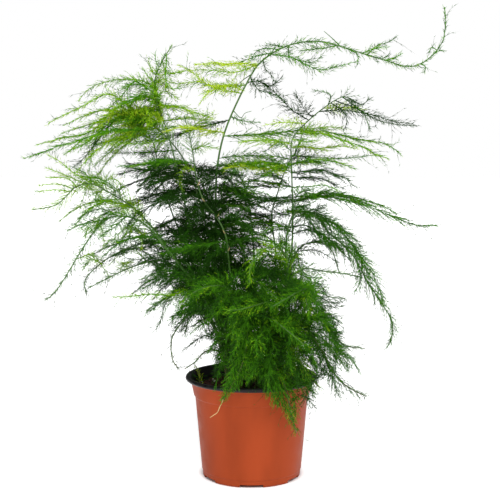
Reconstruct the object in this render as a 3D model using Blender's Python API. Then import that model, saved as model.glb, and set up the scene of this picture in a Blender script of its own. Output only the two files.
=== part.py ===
"""Potted asparagus fern: a plastic nursery pot, its soil and thirty-nine leafy stems."""
import math

import bmesh
import bpy
import numpy as np
from mathutils import Matrix, Vector

# Driving dimensions. Lengths in this file are millimetres, and MM turns them to metres.
MM = 0.001
RIM_RADIUS = 60.0
POT_HEIGHT = 92.0
BODY_TOP_RADIUS = 51.2
SOIL_TOP = 82.0
HOLE_DEPTH = 10.0
CLEARANCE = 0.3

# The pot is a body of revolution with a ring of feet, cut by drain notches
POT_SIDES = 28
NOTCHES = 6
NOTCH_WIDTH = 20.6
NOTCH_HEIGHT = 2.6
NOTCH_INNER_RADIUS = 33.0
FLOOR_UNDERSIDE = 4.0
SHEET = 1.2
STEP_HEIGHT = 73.4

# Stems, sprays, twigs and needles
STEM_RADIUS = 1.3
STEM_TIP_RADIUS = 0.5
SPRAY_RADIUS = 0.62
SPRAY_TIP_RADIUS = 0.45
LONG_STEM = 60.0
COLLAR_HEIGHT = 2.0
TIP_LENGTH = 2.5
NEEDLE_LENGTH = 5.0
NODE_LENGTH = 1.1
TWIG_SPACING = 25.0
TWIG_LEAN = (45.0, 64.0)
TWIG_SWING = 12.0
TWIG_DROOP = 0.12
FLAT_TWIG = 13.0
PLUME_TWIST = 0.02
SEED = 13

# The front view from which the stems were drawn: eye height and distance from the pot's axis
EYE_HEIGHT = 309.0
EYE_DISTANCE = 1006.0

# Tries when a stem or spray is bent clear in depth, when a root finds no room, and for a spike
DEPTH_SHIFTS = (0, 3, -3, 6, -6, 9, -9, 12, -12, 15, -15, 19, -19)
ROOT_SHIFTS = (0, 2, -2, 4, -4, 6, -6, 8, -8, 10, -10, 13, -13, 16, -16, 20, -20, 25, -25, 30, -30)
SPIKE_TRIES = 6

# How far apart roots stand, and how far from its root a child may be near its own stem
ROOT_GAP = 3.4
WHORL_GAP = 2.8
ROOT_REACH = 9.0
SPIKE_REACH = 6.0
SPRAY_GAP = 1.15
POT_ROOM = 1.2

# How finely paths are followed and checked, and how a root avoids corners and skewed faces
PATH_SLACK = 1.1
CLAIM_STEP = 4.0
CORNER_ROOM = 2.2
SHARP_CORNER = 30.0
FACE_REACH = 42.0
COLLAR_MATCH = 0.6
COLLAR_RISE = 0.6
HOLE_SIDES = 5

# Short sprays that fill the bush: which stems bear them, how far up, how long and where they end
BUSH_STEMS = (
    "centre_arch", "centre_front", "centre_left", "centre_right", "front_left", "front_low_right",
    "front_plume", "front_right_plume", "right_low", "right_low_arch", "right_mid", "right_front_arch",
    "right_plume", "slender_upright", "back_arch_left", "back_arch_right")
BUSH_SHARES = (0.3, 0.5)
BUSH_REACH = (24.0, 42.0)
BUSH_TWIG = 15.0
BUSH_LEFT, BUSH_RIGHT, BUSH_TOP = -34.0, 78.0, 215.0
BUSH_TRIES = 12

# Radius and height along the sheet: outside from the floor's middle, inside from the floor up
POT_OUTSIDE = [
    (0.0, 0.0), (11.0, 0.0), (12.0, FLOOR_UNDERSIDE), (34.4, FLOOR_UNDERSIDE), (35.6, 0.0), (43.6, 0.0),
    (44.4, 1.0), (44.8, 6.2), (45.4, 6.8), (BODY_TOP_RADIUS, STEP_HEIGHT), (52.5, 74.8), (54.2, 83.0),
    (55.4, 87.2), (57.4, 88.4), (59.2, 88.8), (RIM_RADIUS, 90.0), (59.0, POT_HEIGHT)]
POT_INSIDE = [
    (35.2, FLOOR_UNDERSIDE + SHEET), (36.6, SHEET), (43.2, SHEET), (43.8, 6.8), (50.0, STEP_HEIGHT),
    (51.3, 74.9), (53.0, 83.2), (54.0, 87.6), (55.4, 91.2)]

POT_COLOUR = (0.46, 0.085, 0.03)
SOIL_COLOUR = (0.035, 0.017, 0.01)
LEAF_COLOURS = (
    ("dark_green_leaf", (0.025, 0.075, 0.012)),
    ("mid_green_leaf", (0.055, 0.16, 0.015)),
    ("light_green_leaf", (0.16, 0.3, 0.03)))

# Stems: name, tone from dark to yellow green, foot in the soil, bare share, twig length, and the
# points of the front view that the stem passes: x, z and depth
STEMS = (
    ("climbing_shoot", 0.55, (-10, 6), 0.58, 7, (
        (-20, 150, 8), (-31, 215, 10), (-32, 255, 8), (-30, 285, 6), (-24, 311, 4), (-15, 333, 2),
        (-5, 353, 0), (6, 371, -2), (24, 384, -5), (42, 390, -8), (62, 391, -10), (84, 385, -10),
        (100, 380, -10), (120, 374, -8), (138, 369, -6), (151, 372, -5), (162, 381, -4),
        (169, 391, -3), (171, 406, -3), (170, 421, -3))),
    ("right_upright", 0.35, (22, 4), 0.95, 14, (
        (31, 150, 8), (36, 200, 6), (37, 240, 4), (36, 275, 2), (36, 304, 0), (42, 313, 0),
        (50, 321, 0), (58, 328, 0), (66, 334, -2), (75, 340, -5), (84, 343, -8), (90, 338, -10))),
    ("slender_upright", 0.6, (12, 14), 0.8, 12, (
        (18, 150, 20), (22, 200, 24), (18, 238, 22), (23, 256, 20), (28, 272, 16), (33, 284, 14),
        (41, 297, 10), (46, 312, 8))),
    ("bracted_stem", 0.6, (-4, -6), 0.85, 16, (
        (-12, 150, -20), (-20, 190, -26), (-23, 218, -24), (-31, 235, -18), (-42, 249, -12),
        (-48, 264, -8), (-52, 290, -4), (-56, 312, 0), (-60, 326, 0))),
    ("left_arching", 0.5, (-12, 11), 0.7, 16, (
        (-28, 170, 16), (-44, 240, 14), (-57, 281, 10), (-72, 303, 4), (-88, 317, -4),
        (-104, 322, -10), (-122, 322, -14), (-138, 316, -16))),
    ("left_upright", 0.6, (-16, -2), 0.78, 12, (
        (-40, 170, -4), (-58, 240, -2), (-68, 285, 0), (-76, 315, 2), (-84, 338, 4), (-86, 355, 4),
        (-80, 372, 2), (-70, 388, 0))),
    ("left_back", 0.45, (-14, 21), 0.7, 20, (
        (-48, 180, 40), (-75, 250, 50), (-83, 280, 48), (-87, 300, 44), (-94, 312, 38),
        (-106, 322, 34), (-120, 326, 30))),
    ("far_left", 0.75, (-17, 8), 0.6, 18, (
        (-44, 160, 12), (-80, 215, 8), (-105, 243, 0), (-128, 258, -5), (-145, 266, -8),
        (-158, 262, -10), (-168, 252, -12), (-176, 246, -12), (-197, 242, -12))),
    ("long_trailing", 0.45, (-15, -13), 0.5, 13, (
        (-36, 150, -30), (-75, 205, -45), (-100, 232, -50), (-125, 236, -50), (-140, 224, -48),
        (-152, 207, -46), (-162, 191, -44), (-172, 175, -44), (-180, 165, -44), (-187, 160, -44))),
    ("left_low_arch", 0.2, (-10, -9), 0.35, 14, (
        (-30, 150, -15), (-50, 195, -20), (-75, 212, -22), (-100, 211, -22), (-125, 201, -20),
        (-140, 190, -20), (-149, 181, -20), (-151, 174, -20), (-149, 166, -20))),
    ("left_mid_arch", 0.15, (-8, 16), 0.35, 18, (
        (-25, 160, 30), (-50, 208, 40), (-75, 223, 42), (-100, 219, 40), (-120, 212, 38),
        (-133, 207, 36), (-144, 201, 34))),
    ("left_side_arch", 0.4, (-20, 3), 0.3, 15, (
        (-32, 140, -5), (-58, 180, -10), (-80, 196, -14), (-100, 193, -16), (-118, 186, -16),
        (-132, 179, -16), (-148, 171, -16))),
    ("umbrella", 0.1, (0, 22), 0.75, 20, (
        (-10, 160, 40), (-25, 220, 42), (-38, 250, 38), (-46, 270, 34), (-52, 286, 26))),
    ("right_plume", 0.4, (34, -4), 0.45, 13, (
        (34, 150, -14), (31, 205, -16), (33, 226, -16), (40, 240, -16), (50, 240, -18), (60, 234, -20),
        (70, 221, -22), (82, 211, -24), (92, 200, -26), (99, 188, -26), (104, 178, -26),
        (112, 166, -26), (120, 154, -26), (126, 144, -26), (128, 134, -26), (127, 125, -26),
        (123, 117, -26))),
    ("right_side_arch", 0.35, (36, 6), 0.5, 11, (
        (34, 150, 14), (36, 195, 14), (48, 211, 14), (64, 212, 12), (72, 206, 12), (76, 196, 12),
        (79, 186, 12))),
    ("right_mid", 0.55, (28, -14), 0.4, 13, (
        (26, 140, -20), (34, 178, -24), (48, 189, -24), (62, 187, -24), (80, 185, -24),
        (100, 181, -24))),
    ("right_low", 0.25, (40, -12), 0.4, 18, (
        (38, 130, -18), (42, 162, -20), (52, 171, -20), (62, 167, -20), (72, 163, -20), (84, 162, -20))),
    ("right_low_arch", 0.4, (42, 4), 0.35, 18, (
        (44, 115, -6), (54, 144, -12), (66, 141, -20), (75, 128, -24), (84, 119, -26), (103, 116, -26))),
    ("right_front_arch", 0.3, (36, -22), 0.3, 20, (
        (36, 115, -34), (46, 138, -44), (60, 120, -50), (70, 103, -52), (78, 89, -54), (90, 79, -56),
        (104, 72, -56))),
    ("front_right_plume", 0.65, (24, -26), 0.2, 14, (
        (24, 110, -38), (32, 122, -46), (42, 108, -52), (50, 94, -54), (56, 86, -55), (62, 80, -55))),
    ("front_plume", 0.4, (12, -28), 0.2, 11, (
        (12, 100, -42), (18, 106, -52), (26, 92, -58), (32, 76, -60), (35, 62, -60), (38, 48, -60),
        (41, 38, -60))),
    ("pot_front_plume", 0.5, (-2, -26), 0.25, 11, (
        (-2, 110, -42), (-2, 140, -50), (-4, 122, -58), (-8, 103, -63), (-15, 87, -66), (-22, 75, -66),
        (-27, 67, -65), (-33, 58, -65), (-37, 54, -65))),
    ("low_left_front", 0.45, (-16, -20), 0.25, 20, (
        (-22, 125, -30), (-32, 162, -40), (-48, 173, -44), (-62, 169, -46), (-76, 162, -48),
        (-86, 157, -48), (-95, 150, -48))),
    ("hanging_loop", 0.2, (-20, -8), 0.35, 7, (
        (-26, 115, -14), (-44, 148, -20), (-57, 146, -24), (-66, 136, -26), (-72, 126, -26),
        (-73, 114, -26), (-71, 104, -26), (-66, 97, -26))),
    ("rim_spray", 0.5, (-23, -3), 0.25, 8, (
        (-24, 98, -2), (-31, 114, -2), (-42, 113, -4), (-52, 103, -4), (-61, 97, -4))),
    ("left_back_low", 0.2, (-18, 14), 0.3, 14, (
        (-28, 115, 22), (-38, 146, 26), (-50, 151, 28), (-62, 148, 28), (-73, 145, 28))),
    ("centre_arch", 0.6, (20, -8), 0.4, 18, (
        (28, 155, -26), (32, 198, -42), (20, 209, -58), (6, 203, -70), (-1, 190, -76), (-2, 176, -80))),
    ("centre_right", 0.5, (32, -30), 0.35, 20, (
        (42, 135, -45), (56, 170, -58), (46, 170, -70), (30, 161, -80), (18, 154, -84))),
    ("centre_left", 0.55, (4, -18), 0.35, 18, (
        (8, 125, -46), (16, 158, -64), (2, 155, -76), (-10, 152, -84), (-22, 151, -88))),
    ("centre_front", 0.5, (-8, -14), 0.35, 16, (
        (-10, 135, -42), (0, 180, -58), (12, 171, -72), (22, 163, -80))),
    ("front_low_right", 0.5, (14, -18), 0.3, 18, (
        (8, 120, -52), (14, 145, -66), (28, 136, -80), (40, 126, -86), (48, 119, -88))),
    ("front_left", 0.5, (-12, -26), 0.3, 20, (
        (-14, 130, -46), (-20, 170, -60), (-38, 173, -74), (-56, 165, -84), (-66, 157, -88))),
    ("back_arch_left", 0.3, (-6, 28), 0.35, 18, (
        (0, 140, 45), (-6, 200, 80), (-14, 214, 110), (-22, 200, 140), (-26, 178, 158))),
    ("back_arch_right", 0.35, (14, 22), 0.35, 18, (
        (20, 140, 45), (30, 190, 85), (38, 205, 115), (44, 188, 142), (46, 165, 155))),
    ("back_low_left", 0.3, (-14, 28), 0.3, 18, (
        (-20, 120, 45), (-34, 160, 75), (-46, 168, 100), (-56, 150, 122), (-60, 130, 132))),
    ("back_low_right", 0.3, (28, 20), 0.3, 18, (
        (36, 115, 45), (52, 150, 72), (64, 150, 95), (74, 128, 112), (78, 108, 118))),
    ("back_upright", 0.45, (8, 28), 0.5, 16, (
        (4, 160, 45), (0, 230, 70), (-6, 262, 90), (-14, 276, 118), (-22, 270, 148), (-28, 256, 170))),
    ("back_pot_plume", 0.35, (2, 34), 0.25, 12, (
        (2, 105, 48), (4, 118, 58), (6, 104, 66), (8, 84, 70), (9, 64, 70))),
    ("young_sprig", 0.9, (-47, -3), 0.1, 4, (
        (-47, 90, -3), (-49, 96, -3), (-51, 101, -4))),
)

# Side sprays: stem, tone, twig length and points of the front view: x, z and depth
SPRAYS = (
    ("climbing_shoot", 0.85, 16, (
        (-24, 312, 4), (-45, 314, -15), (-62, 316, -25), (-78, 312, -30))),
    ("climbing_shoot", 0.1, 22, (
        (-18, 321, 3), (-32, 319, 12), (-46, 316, 20), (-60, 311, 24), (-75, 306, 24), (-92, 304, 22),
        (-106, 302, 20))),
    ("climbing_shoot", 0.5, 26, (
        (-24, 310, 4), (0, 309, 14), (22, 311, 20), (46, 313, 20), (70, 311, 18), (90, 306, 16),
        (110, 303, 14), (122, 300, 12), (133, 292, 12))),
    ("climbing_shoot", 0.4, 7, (
        (-18, 322, 3), (-6, 321, -15), (8, 320, -25))),
    ("climbing_shoot", 0.3, 0, (
        (-17, 325, 3), (-9, 324, -8), (-6, 328, -12), (0, 330, -14))),
    ("climbing_shoot", 0.8, 18, (
        (-7, 350, 0), (-20, 353, -15), (-30, 350, -22), (-40, 345, -26), (-46, 336, -28))),
    ("climbing_shoot", 0.7, 13, (
        (-7, 349, 0), (-16, 352, 20), (-32, 352, 32), (-50, 356, 38), (-66, 354, 40), (-80, 360, 40),
        (-88, 369, 40))),
    ("climbing_shoot", 0.2, 12, (
        (-4, 354, 0), (8, 356, 14), (16, 352, 18), (22, 355, 20), (28, 361, 22))),
    ("climbing_shoot", 0.25, 10, (
        (-5, 353, 0), (6, 349, -14), (16, 346, -20), (24, 343, -22), (31, 338, -22))),
    ("climbing_shoot", 0.3, 0, (
        (-3, 356, 0), (-8, 357, 8), (-14, 352, 12))),
    ("climbing_shoot", 0.85, 20, (
        (3, 367, -2), (-6, 372, -14), (-20, 371, -20), (-34, 372, -22), (-50, 371, -24))),
    ("climbing_shoot", 0.7, 12, (
        (2, 364, -1), (-15, 364, 20), (-35, 366, 30), (-52, 366, 34), (-66, 364, 36), (-80, 362, 36))),
    ("climbing_shoot", 0.8, 9, (
        (-10, 345, 1), (-28, 349, 8), (-40, 354, 12), (-50, 362, 16), (-58, 367, 18), (-66, 371, 18))),
    ("climbing_shoot", 0.35, 8, (
        (20, 381, -4), (8, 379, -12), (-2, 376, -16), (-14, 371, -18))),
    ("climbing_shoot", 0.35, 5, (
        (23, 383, -5), (12, 385, 8), (4, 382, 12), (0, 376, 12))),
    ("climbing_shoot", 0.35, 5, (
        (27, 386, -5), (20, 388, 5), (14, 389, 8))),
    ("climbing_shoot", 0.4, 8, (
        (24, 384, -5), (34, 378, 8), (45, 374, 12), (55, 373, 14), (62, 378, 14))),
    ("climbing_shoot", 0.45, 10, (
        (24, 384, -5), (36, 377, -14), (50, 370, -20), (62, 366, -22), (76, 369, -24), (94, 374, -24))),
    ("climbing_shoot", 0.2, 7, (
        (8, 372, -2), (13, 366, -12), (18, 361, -15), (20, 356, -15))),
    ("climbing_shoot", 0.5, 10, (
        (76, 389, -10), (62, 385, 0), (50, 384, 4), (42, 382, 4))),
    ("climbing_shoot", 0.3, 0, (
        (77, 389, -10), (71, 394, -12), (64, 400, -12))),
    ("climbing_shoot", 0.35, 3, (
        (82, 386, -10), (88, 383, 0), (94, 379, 4), (94, 371, 5))),
    ("climbing_shoot", 0.5, 8, (
        (97, 381, -10), (106, 384, -16), (114, 386, -18), (121, 386, -18))),
    ("climbing_shoot", 0.3, 3, (
        (99, 380, -10), (112, 388, -4), (120, 390, -2), (128, 395, -2))),
    ("climbing_shoot", 0.3, 3, (
        (114, 376, -9), (119, 378, -2), (123, 381, 2))),
    ("climbing_shoot", 0.5, 6, (
        (118, 375, -8), (125, 376, -18), (129, 378, -22), (134, 381, -24))),
    ("climbing_shoot", 0.4, 4, (
        (151, 372, -5), (154, 369, -9), (153, 364, -11))),
    ("climbing_shoot", 0.4, 3, (
        (163, 383, -4), (159, 386, 2), (157, 381, 4))),
    ("climbing_shoot", 0.4, 3, (
        (160, 380, -4), (166, 383, -9), (171, 383, -10))),
    ("right_upright", 0.35, 30, (
        (37, 249, 4), (60, 254, -6), (80, 252, -12), (100, 247, -14), (120, 239, -16), (140, 231, -16),
        (150, 228, -16), (166, 228, -16))),
    ("right_upright", 0.2, 26, (
        (37, 251, 4), (20, 253, -10), (0, 253, -16), (-20, 256, -20))),
    ("right_upright", 0.15, 18, (
        (36, 269, 2), (50, 271, 14), (62, 270, 20), (75, 264, 24), (83, 261, 26))),
    ("right_upright", 0.25, 20, (
        (36, 272, 2), (50, 277, -12), (64, 277, -20), (76, 273, -24), (84, 271, -26), (89, 265, -26),
        (97, 262, -26))),
    ("right_upright", 0.5, 5, (
        (37, 262, 3), (52, 263, -20), (66, 264, -30), (80, 258, -36))),
    ("right_upright", 0.15, 12, (
        (36, 287, 1), (44, 290, 12), (55, 286, 18), (66, 283, 22))),
    ("right_upright", 0.65, 22, (
        (36, 301, 0), (20, 304, -18), (5, 304, -28), (-10, 303, -32))),
    ("right_upright", 0.6, 16, (
        (36, 303, 0), (46, 303, -18), (57, 304, -28))),
    ("right_upright", 0.7, 18, (
        (36, 297, 1), (50, 298, 18), (64, 297, 28), (76, 299, 34), (94, 297, 38))),
    ("right_upright", 0.6, 15, (
        (37, 306, 0), (56, 311, -14), (72, 308, -22), (88, 302, -26), (100, 298, -28), (108, 293, -28),
        (122, 288, -28))),
    ("right_upright", 0.4, 9, (
        (36, 290, 1), (58, 289, 30), (78, 288, 40), (95, 289, 44), (110, 291, 46), (117, 290, 46))),
    ("right_upright", 0.7, 12, (
        (41, 312, 0), (56, 315, 24), (70, 316, 34), (84, 314, 38))),
    ("right_upright", 0.8, 11, (
        (47, 318, 0), (30, 320, -14), (12, 318, -22))),
    ("right_upright", 0.15, 12, (
        (60, 329, 0), (80, 331, -12), (100, 328, -18), (114, 325, -20), (126, 321, -22),
        (143, 319, -22))),
    ("right_upright", 0.2, 4, (
        (74, 339, -4), (96, 331, 10), (112, 322, 18), (130, 318, 20), (147, 317, 20))),
    ("right_upright", 0.85, 12, (
        (64, 333, -1), (76, 333, 12), (90, 333, 18), (101, 331, 20))),
    ("right_upright", 0.2, 5, (
        (88, 340, -9), (98, 336, -24), (104, 340, -28), (107, 342, -28))),
    ("right_upright", 0.3, 5, (
        (89, 339, -10), (100, 327, -6), (104, 318, -4), (106, 312, -4))),
    ("right_upright", 0.2, 6, (
        (70, 337, -3), (82, 329, -20), (85, 321, -24), (83, 314, -24))),
    ("right_upright", 0.1, 11, (
        (50, 321, 0), (36, 331, 10), (22, 345, 14), (14, 352, 14), (6, 356, 14))),
    ("right_upright", 0.1, 14, (
        (53, 324, 0), (47, 332, -10), (42, 340, -14), (38, 347, -14))),
    ("right_upright", 0.3, 4, (
        (70, 337, -3), (70, 344, -12), (64, 347, -16), (56, 348, -16))),
    ("slender_upright", 0.85, 22, (
        (29, 276, 16), (18, 279, 0), (4, 280, -8), (-12, 281, -14), (-24, 279, -16))),
    ("slender_upright", 0.5, 12, (
        (35, 288, 13), (20, 290, 24), (0, 290, 30), (-16, 290, 32))),
    ("slender_upright", 0.75, 14, (
        (32, 283, 14), (44, 284, 28), (54, 285, 34), (62, 283, 36))),
    ("slender_upright", 0.1, 16, (
        (25, 262, 19), (12, 263, 30), (0, 263, 36), (-12, 262, 38))),
    ("slender_upright", 0.1, 12, (
        (18, 238, 22), (8, 235, 30), (-4, 236, 32))),
    ("slender_upright", 0.15, 12, (
        (19, 232, 22), (10, 227, 8), (0, 226, 4), (-8, 228, 2))),
    ("slender_upright", 0.1, 9, (
        (17, 242, 22), (26, 238, 34), (33, 237, 40))),
    ("bracted_stem", 0.8, 22, (
        (-56, 311, 0), (-50, 318, -14), (-42, 323, -20), (-34, 327, -22))),
    ("bracted_stem", 0.7, 10, (
        (-53, 297, -3), (-42, 299, -14), (-30, 297, -20))),
    ("bracted_stem", 0.5, 22, (
        (-51, 284, -5), (-70, 286, -22), (-88, 285, -32), (-102, 282, -36), (-119, 281, -38))),
    ("bracted_stem", 0.1, 26, (
        (-49, 270, -7), (-68, 271, -26), (-90, 266, -40), (-104, 258, -46))),
    ("bracted_stem", 0.15, 26, (
        (-45, 256, -10), (-66, 254, -30), (-88, 247, -44), (-104, 236, -52), (-112, 227, -54))),
    ("bracted_stem", 0.75, 7, (
        (-50, 277, -6), (-60, 280, -14), (-64, 272, -18), (-62, 260, -18))),
    ("bracted_stem", 0.4, 24, (
        (-24, 217, -24), (-40, 210, -46), (-60, 208, -58), (-82, 202, -64))),
    ("bracted_stem", 0.35, 22, (
        (-22, 212, -25), (-6, 216, -44), (14, 214, -54), (32, 206, -58))),
    ("left_arching", 0.75, 14, (
        (-95, 320, -6), (-112, 337, -14), (-126, 345, -20), (-140, 340, -24), (-150, 334, -26),
        (-162, 329, -28), (-181, 319, -28))),
    ("left_arching", 0.7, 18, (
        (-90, 318, -4), (-110, 328, 16), (-130, 331, 24), (-146, 327, 28), (-168, 317, 30))),
    ("left_arching", 0.55, 24, (
        (-84, 313, -2), (-105, 313, -26), (-125, 313, -36), (-142, 308, -40), (-156, 303, -42),
        (-172, 299, -42), (-188, 293, -42), (-203, 288, -42))),
    ("left_arching", 0.7, 14, (
        (-118, 323, -13), (-136, 320, 2), (-155, 315, 8), (-170, 310, 10))),
    ("left_arching", 0.7, 14, (
        (-136, 317, -16), (-150, 309, -8), (-166, 307, -4), (-180, 303, -2), (-192, 300, -2))),
    ("left_arching", 0.7, 12, (
        (-74, 305, 3), (-92, 302, -20), (-110, 301, -30), (-127, 301, -34))),
    ("left_arching", 0.5, 10, (
        (-66, 296, 6), (-85, 294, 26), (-105, 293, 36), (-130, 293, 40))),
    ("left_arching", 0.65, 11, (
        (-132, 318, -15), (-140, 302, -20), (-143, 289, -22), (-145, 277, -22))),
    ("left_arching", 0.65, 12, (
        (-137, 316, -16), (-150, 300, -2), (-160, 296, 2), (-168, 291, 2))),
    ("left_arching", 0.2, 11, (
        (-126, 321, -15), (-142, 298, -30), (-151, 287, -34), (-160, 280, -34))),
    ("left_upright", 0.6, 13, (
        (-86, 346, 4), (-97, 353, -4), (-104, 356, -6), (-112, 347, -8), (-120, 339, -10),
        (-128, 331, -10))),
    ("left_upright", 0.7, 11, (
        (-86, 350, 4), (-98, 357, 14), (-112, 358, 18), (-128, 356, 22), (-140, 352, 24),
        (-148, 346, 24), (-154, 338, 24))),
    ("left_upright", 0.55, 24, (
        (-84, 340, 4), (-96, 343, -14), (-108, 339, -22), (-119, 334, -26))),
    ("left_upright", 0.75, 20, (
        (-83, 335, 3), (-72, 334, -12), (-60, 332, -20), (-48, 328, -24), (-38, 325, -24))),
    ("left_upright", 0.75, 16, (
        (-78, 320, 2), (-66, 323, 16), (-54, 324, 24), (-42, 322, 28))),
    ("left_upright", 0.55, 22, (
        (-80, 326, 3), (-92, 331, 20), (-106, 330, 28), (-117, 328, 32))),
    ("left_upright", 0.7, 4, (
        (-86, 352, 4), (-92, 361, 0), (-97, 369, 0))),
    ("left_upright", 0.7, 5, (
        (-85, 361, 4), (-90, 369, 10), (-91, 377, 12))),
    ("left_upright", 0.6, 5, (
        (-82, 368, 3), (-85, 376, -6), (-85, 382, -6))),
    ("left_upright", 0.7, 10, (
        (-85, 359, 4), (-74, 363, 14), (-64, 364, 16))),
    ("left_upright", 0.65, 12, (
        (-86, 352, 4), (-74, 351, -10), (-62, 350, -14))),
    ("left_back", 0.1, 14, (
        (-86, 293, 46), (-92, 294, 58), (-99, 291, 64))),
    ("left_back", 0.5, 22, (
        (-94, 311, 38), (-110, 307, 56), (-124, 304, 66), (-140, 300, 72))),
    ("left_back", 0.6, 22, (
        (-90, 305, 42), (-80, 313, 64), (-68, 317, 76))),
    ("left_back", 0.2, 22, (
        (-82, 278, 48), (-100, 278, 66), (-118, 274, 76))),
    ("far_left", 0.8, 4, (
        (-147, 266, -8), (-160, 276, -14), (-172, 286, -18), (-182, 291, -18))),
    ("far_left", 0.8, 4, (
        (-150, 265, -9), (-166, 273, -4), (-184, 280, -2))),
    ("far_left", 0.8, 4, (
        (-156, 263, -9), (-164, 270, -16), (-184, 271, -20))),
    ("far_left", 0.8, 4, (
        (-158, 262, -10), (-173, 265, -6), (-191, 264, -4))),
    ("far_left", 0.8, 4, (
        (-162, 259, -11), (-176, 260, -18), (-193, 258, -20))),
    ("far_left", 0.6, 22, (
        (-116, 250, -2), (-121, 261, -14), (-136, 270, -24), (-150, 272, -26))),
    ("far_left", 0.6, 14, (
        (-142, 265, -8), (-148, 274, 8), (-156, 279, 14))),
    ("far_left", 0.6, 12, (
        (-148, 265, -9), (-140, 254, 6), (-137, 244, 10))),
    ("long_trailing", 0.45, 12, (
        (-128, 235, -50), (-142, 231, -60), (-155, 228, -66), (-166, 223, -68))),
    ("long_trailing", 0.4, 12, (
        (-120, 237, -50), (-136, 243, -44), (-149, 238, -40), (-158, 232, -38))),
    ("long_trailing", 0.45, 16, (
        (-112, 236, -50), (-122, 227, -66), (-130, 222, -72), (-138, 216, -74))),
    ("left_low_arch", 0.3, 14, (
        (-62, 206, -21), (-80, 204, -40), (-96, 201, -48))),
    ("left_mid_arch", 0.1, 20, (
        (-55, 211, 41), (-70, 214, 64), (-86, 212, 74), (-100, 206, 78))),
    ("left_side_arch", 0.3, 9, (
        (-74, 192, -13), (-92, 199, -28), (-104, 197, -34), (-114, 199, -36))),
    ("left_side_arch", 0.6, 11, (
        (-64, 184, -11), (-80, 187, 4), (-92, 182, 10), (-101, 179, 12))),
    ("umbrella", 0.08, 34, (
        (-38, 250, 38), (-60, 259, 30), (-80, 257, 28), (-100, 251, 28), (-118, 244, 30),
        (-134, 237, 30), (-151, 229, 30))),
    ("umbrella", 0.1, 24, (
        (-46, 270, 34), (-65, 276, 50), (-85, 273, 58), (-102, 268, 62), (-116, 262, 62),
        (-128, 254, 62))),
    ("umbrella", 0.08, 18, (
        (-49, 279, 30), (-62, 284, 22), (-80, 285, 16), (-96, 283, 12), (-112, 284, 10))),
    ("umbrella", 0.15, 22, (
        (-48, 276, 32), (-35, 278, 20), (-20, 275, 12), (-6, 272, 6))),
    ("umbrella", 0.12, 24, (
        (-40, 256, 37), (-24, 260, 52), (-6, 258, 58), (12, 255, 60))),
    ("umbrella", 0.1, 24, (
        (-28, 226, 42), (-14, 236, 56), (0, 238, 64), (16, 235, 68))),
    ("right_plume", 0.35, 12, (
        (41, 241, -16), (52, 232, -34), (60, 221, -40), (68, 213, -42), (79, 210, -42))),
    ("right_plume", 0.2, 9, (
        (46, 242, -17), (56, 240, -30), (62, 246, -36), (66, 243, -38))),
    ("right_plume", 0.3, 9, (
        (56, 237, -19), (66, 232, -8), (78, 228, -4), (85, 220, -4))),
    ("right_plume", 0.4, 8, (
        (96, 193, -26), (98, 182, -36), (96, 173, -40), (93, 167, -40))),
    ("right_side_arch", 0.3, 9, (
        (40, 204, 14), (56, 206, 28), (68, 201, 34), (78, 194, 36))),
    ("right_mid", 0.5, 12, (
        (40, 186, -24), (52, 181, -36), (64, 181, -42))),
    ("right_low", 0.25, 10, (
        (52, 171, -20), (64, 162, -30), (74, 158, -34), (86, 160, -34))),
    ("right_low", 0.35, 12, (
        (46, 167, -20), (60, 158, -4), (72, 154, 0), (84, 155, 0))),
    ("right_low_arch", 0.45, 16, (
        (58, 145, -15), (68, 147, -2), (76, 143, 4), (82, 138, 6))),
    ("right_low_arch", 0.45, 14, (
        (70, 136, -22), (82, 112, -36), (90, 107, -38), (99, 94, -38))),
    ("right_front_arch", 0.3, 14, (
        (64, 113, -51), (70, 98, -60), (75, 84, -64), (80, 71, -64))),
    ("right_front_arch", 0.5, 16, (
        (52, 133, -47), (66, 124, -34), (78, 108, -30), (88, 98, -30))),
    ("low_left_front", 0.7, 6, (
        (-56, 171, -45), (-72, 165, -58), (-92, 166, -64), (-108, 164, -66), (-125, 163, -66))),
    ("low_left_front", 0.15, 9, (
        (-40, 170, -42), (-60, 178, -28), (-78, 173, -22), (-90, 160, -20))),
    ("low_left_front", 0.45, 12, (
        (-36, 166, -41), (-48, 160, -56), (-60, 155, -62), (-67, 152, -62))),
    ("low_left_front", 0.3, 5, (
        (-72, 164, -47), (-79, 154, -60), (-82, 142, -64), (-87, 133, -64))),
    ("left_back_low", 0.25, 10, (
        (-30, 125, 23), (-42, 128, 36), (-52, 122, 40), (-63, 114, 40))),
    ("hanging_loop", 0.45, 8, (
        (-38, 140, -17), (-46, 138, -30), (-52, 133, -34), (-56, 129, -34))),
)


def seen(x, z, y):
    """A point that the front view shows at x and z on the pot's mid plane, set back to depth y."""
    scale = (EYE_DISTANCE + y) / EYE_DISTANCE
    return np.array([x * scale, y, EYE_HEIGHT + (z - EYE_HEIGHT) * scale])


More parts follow.
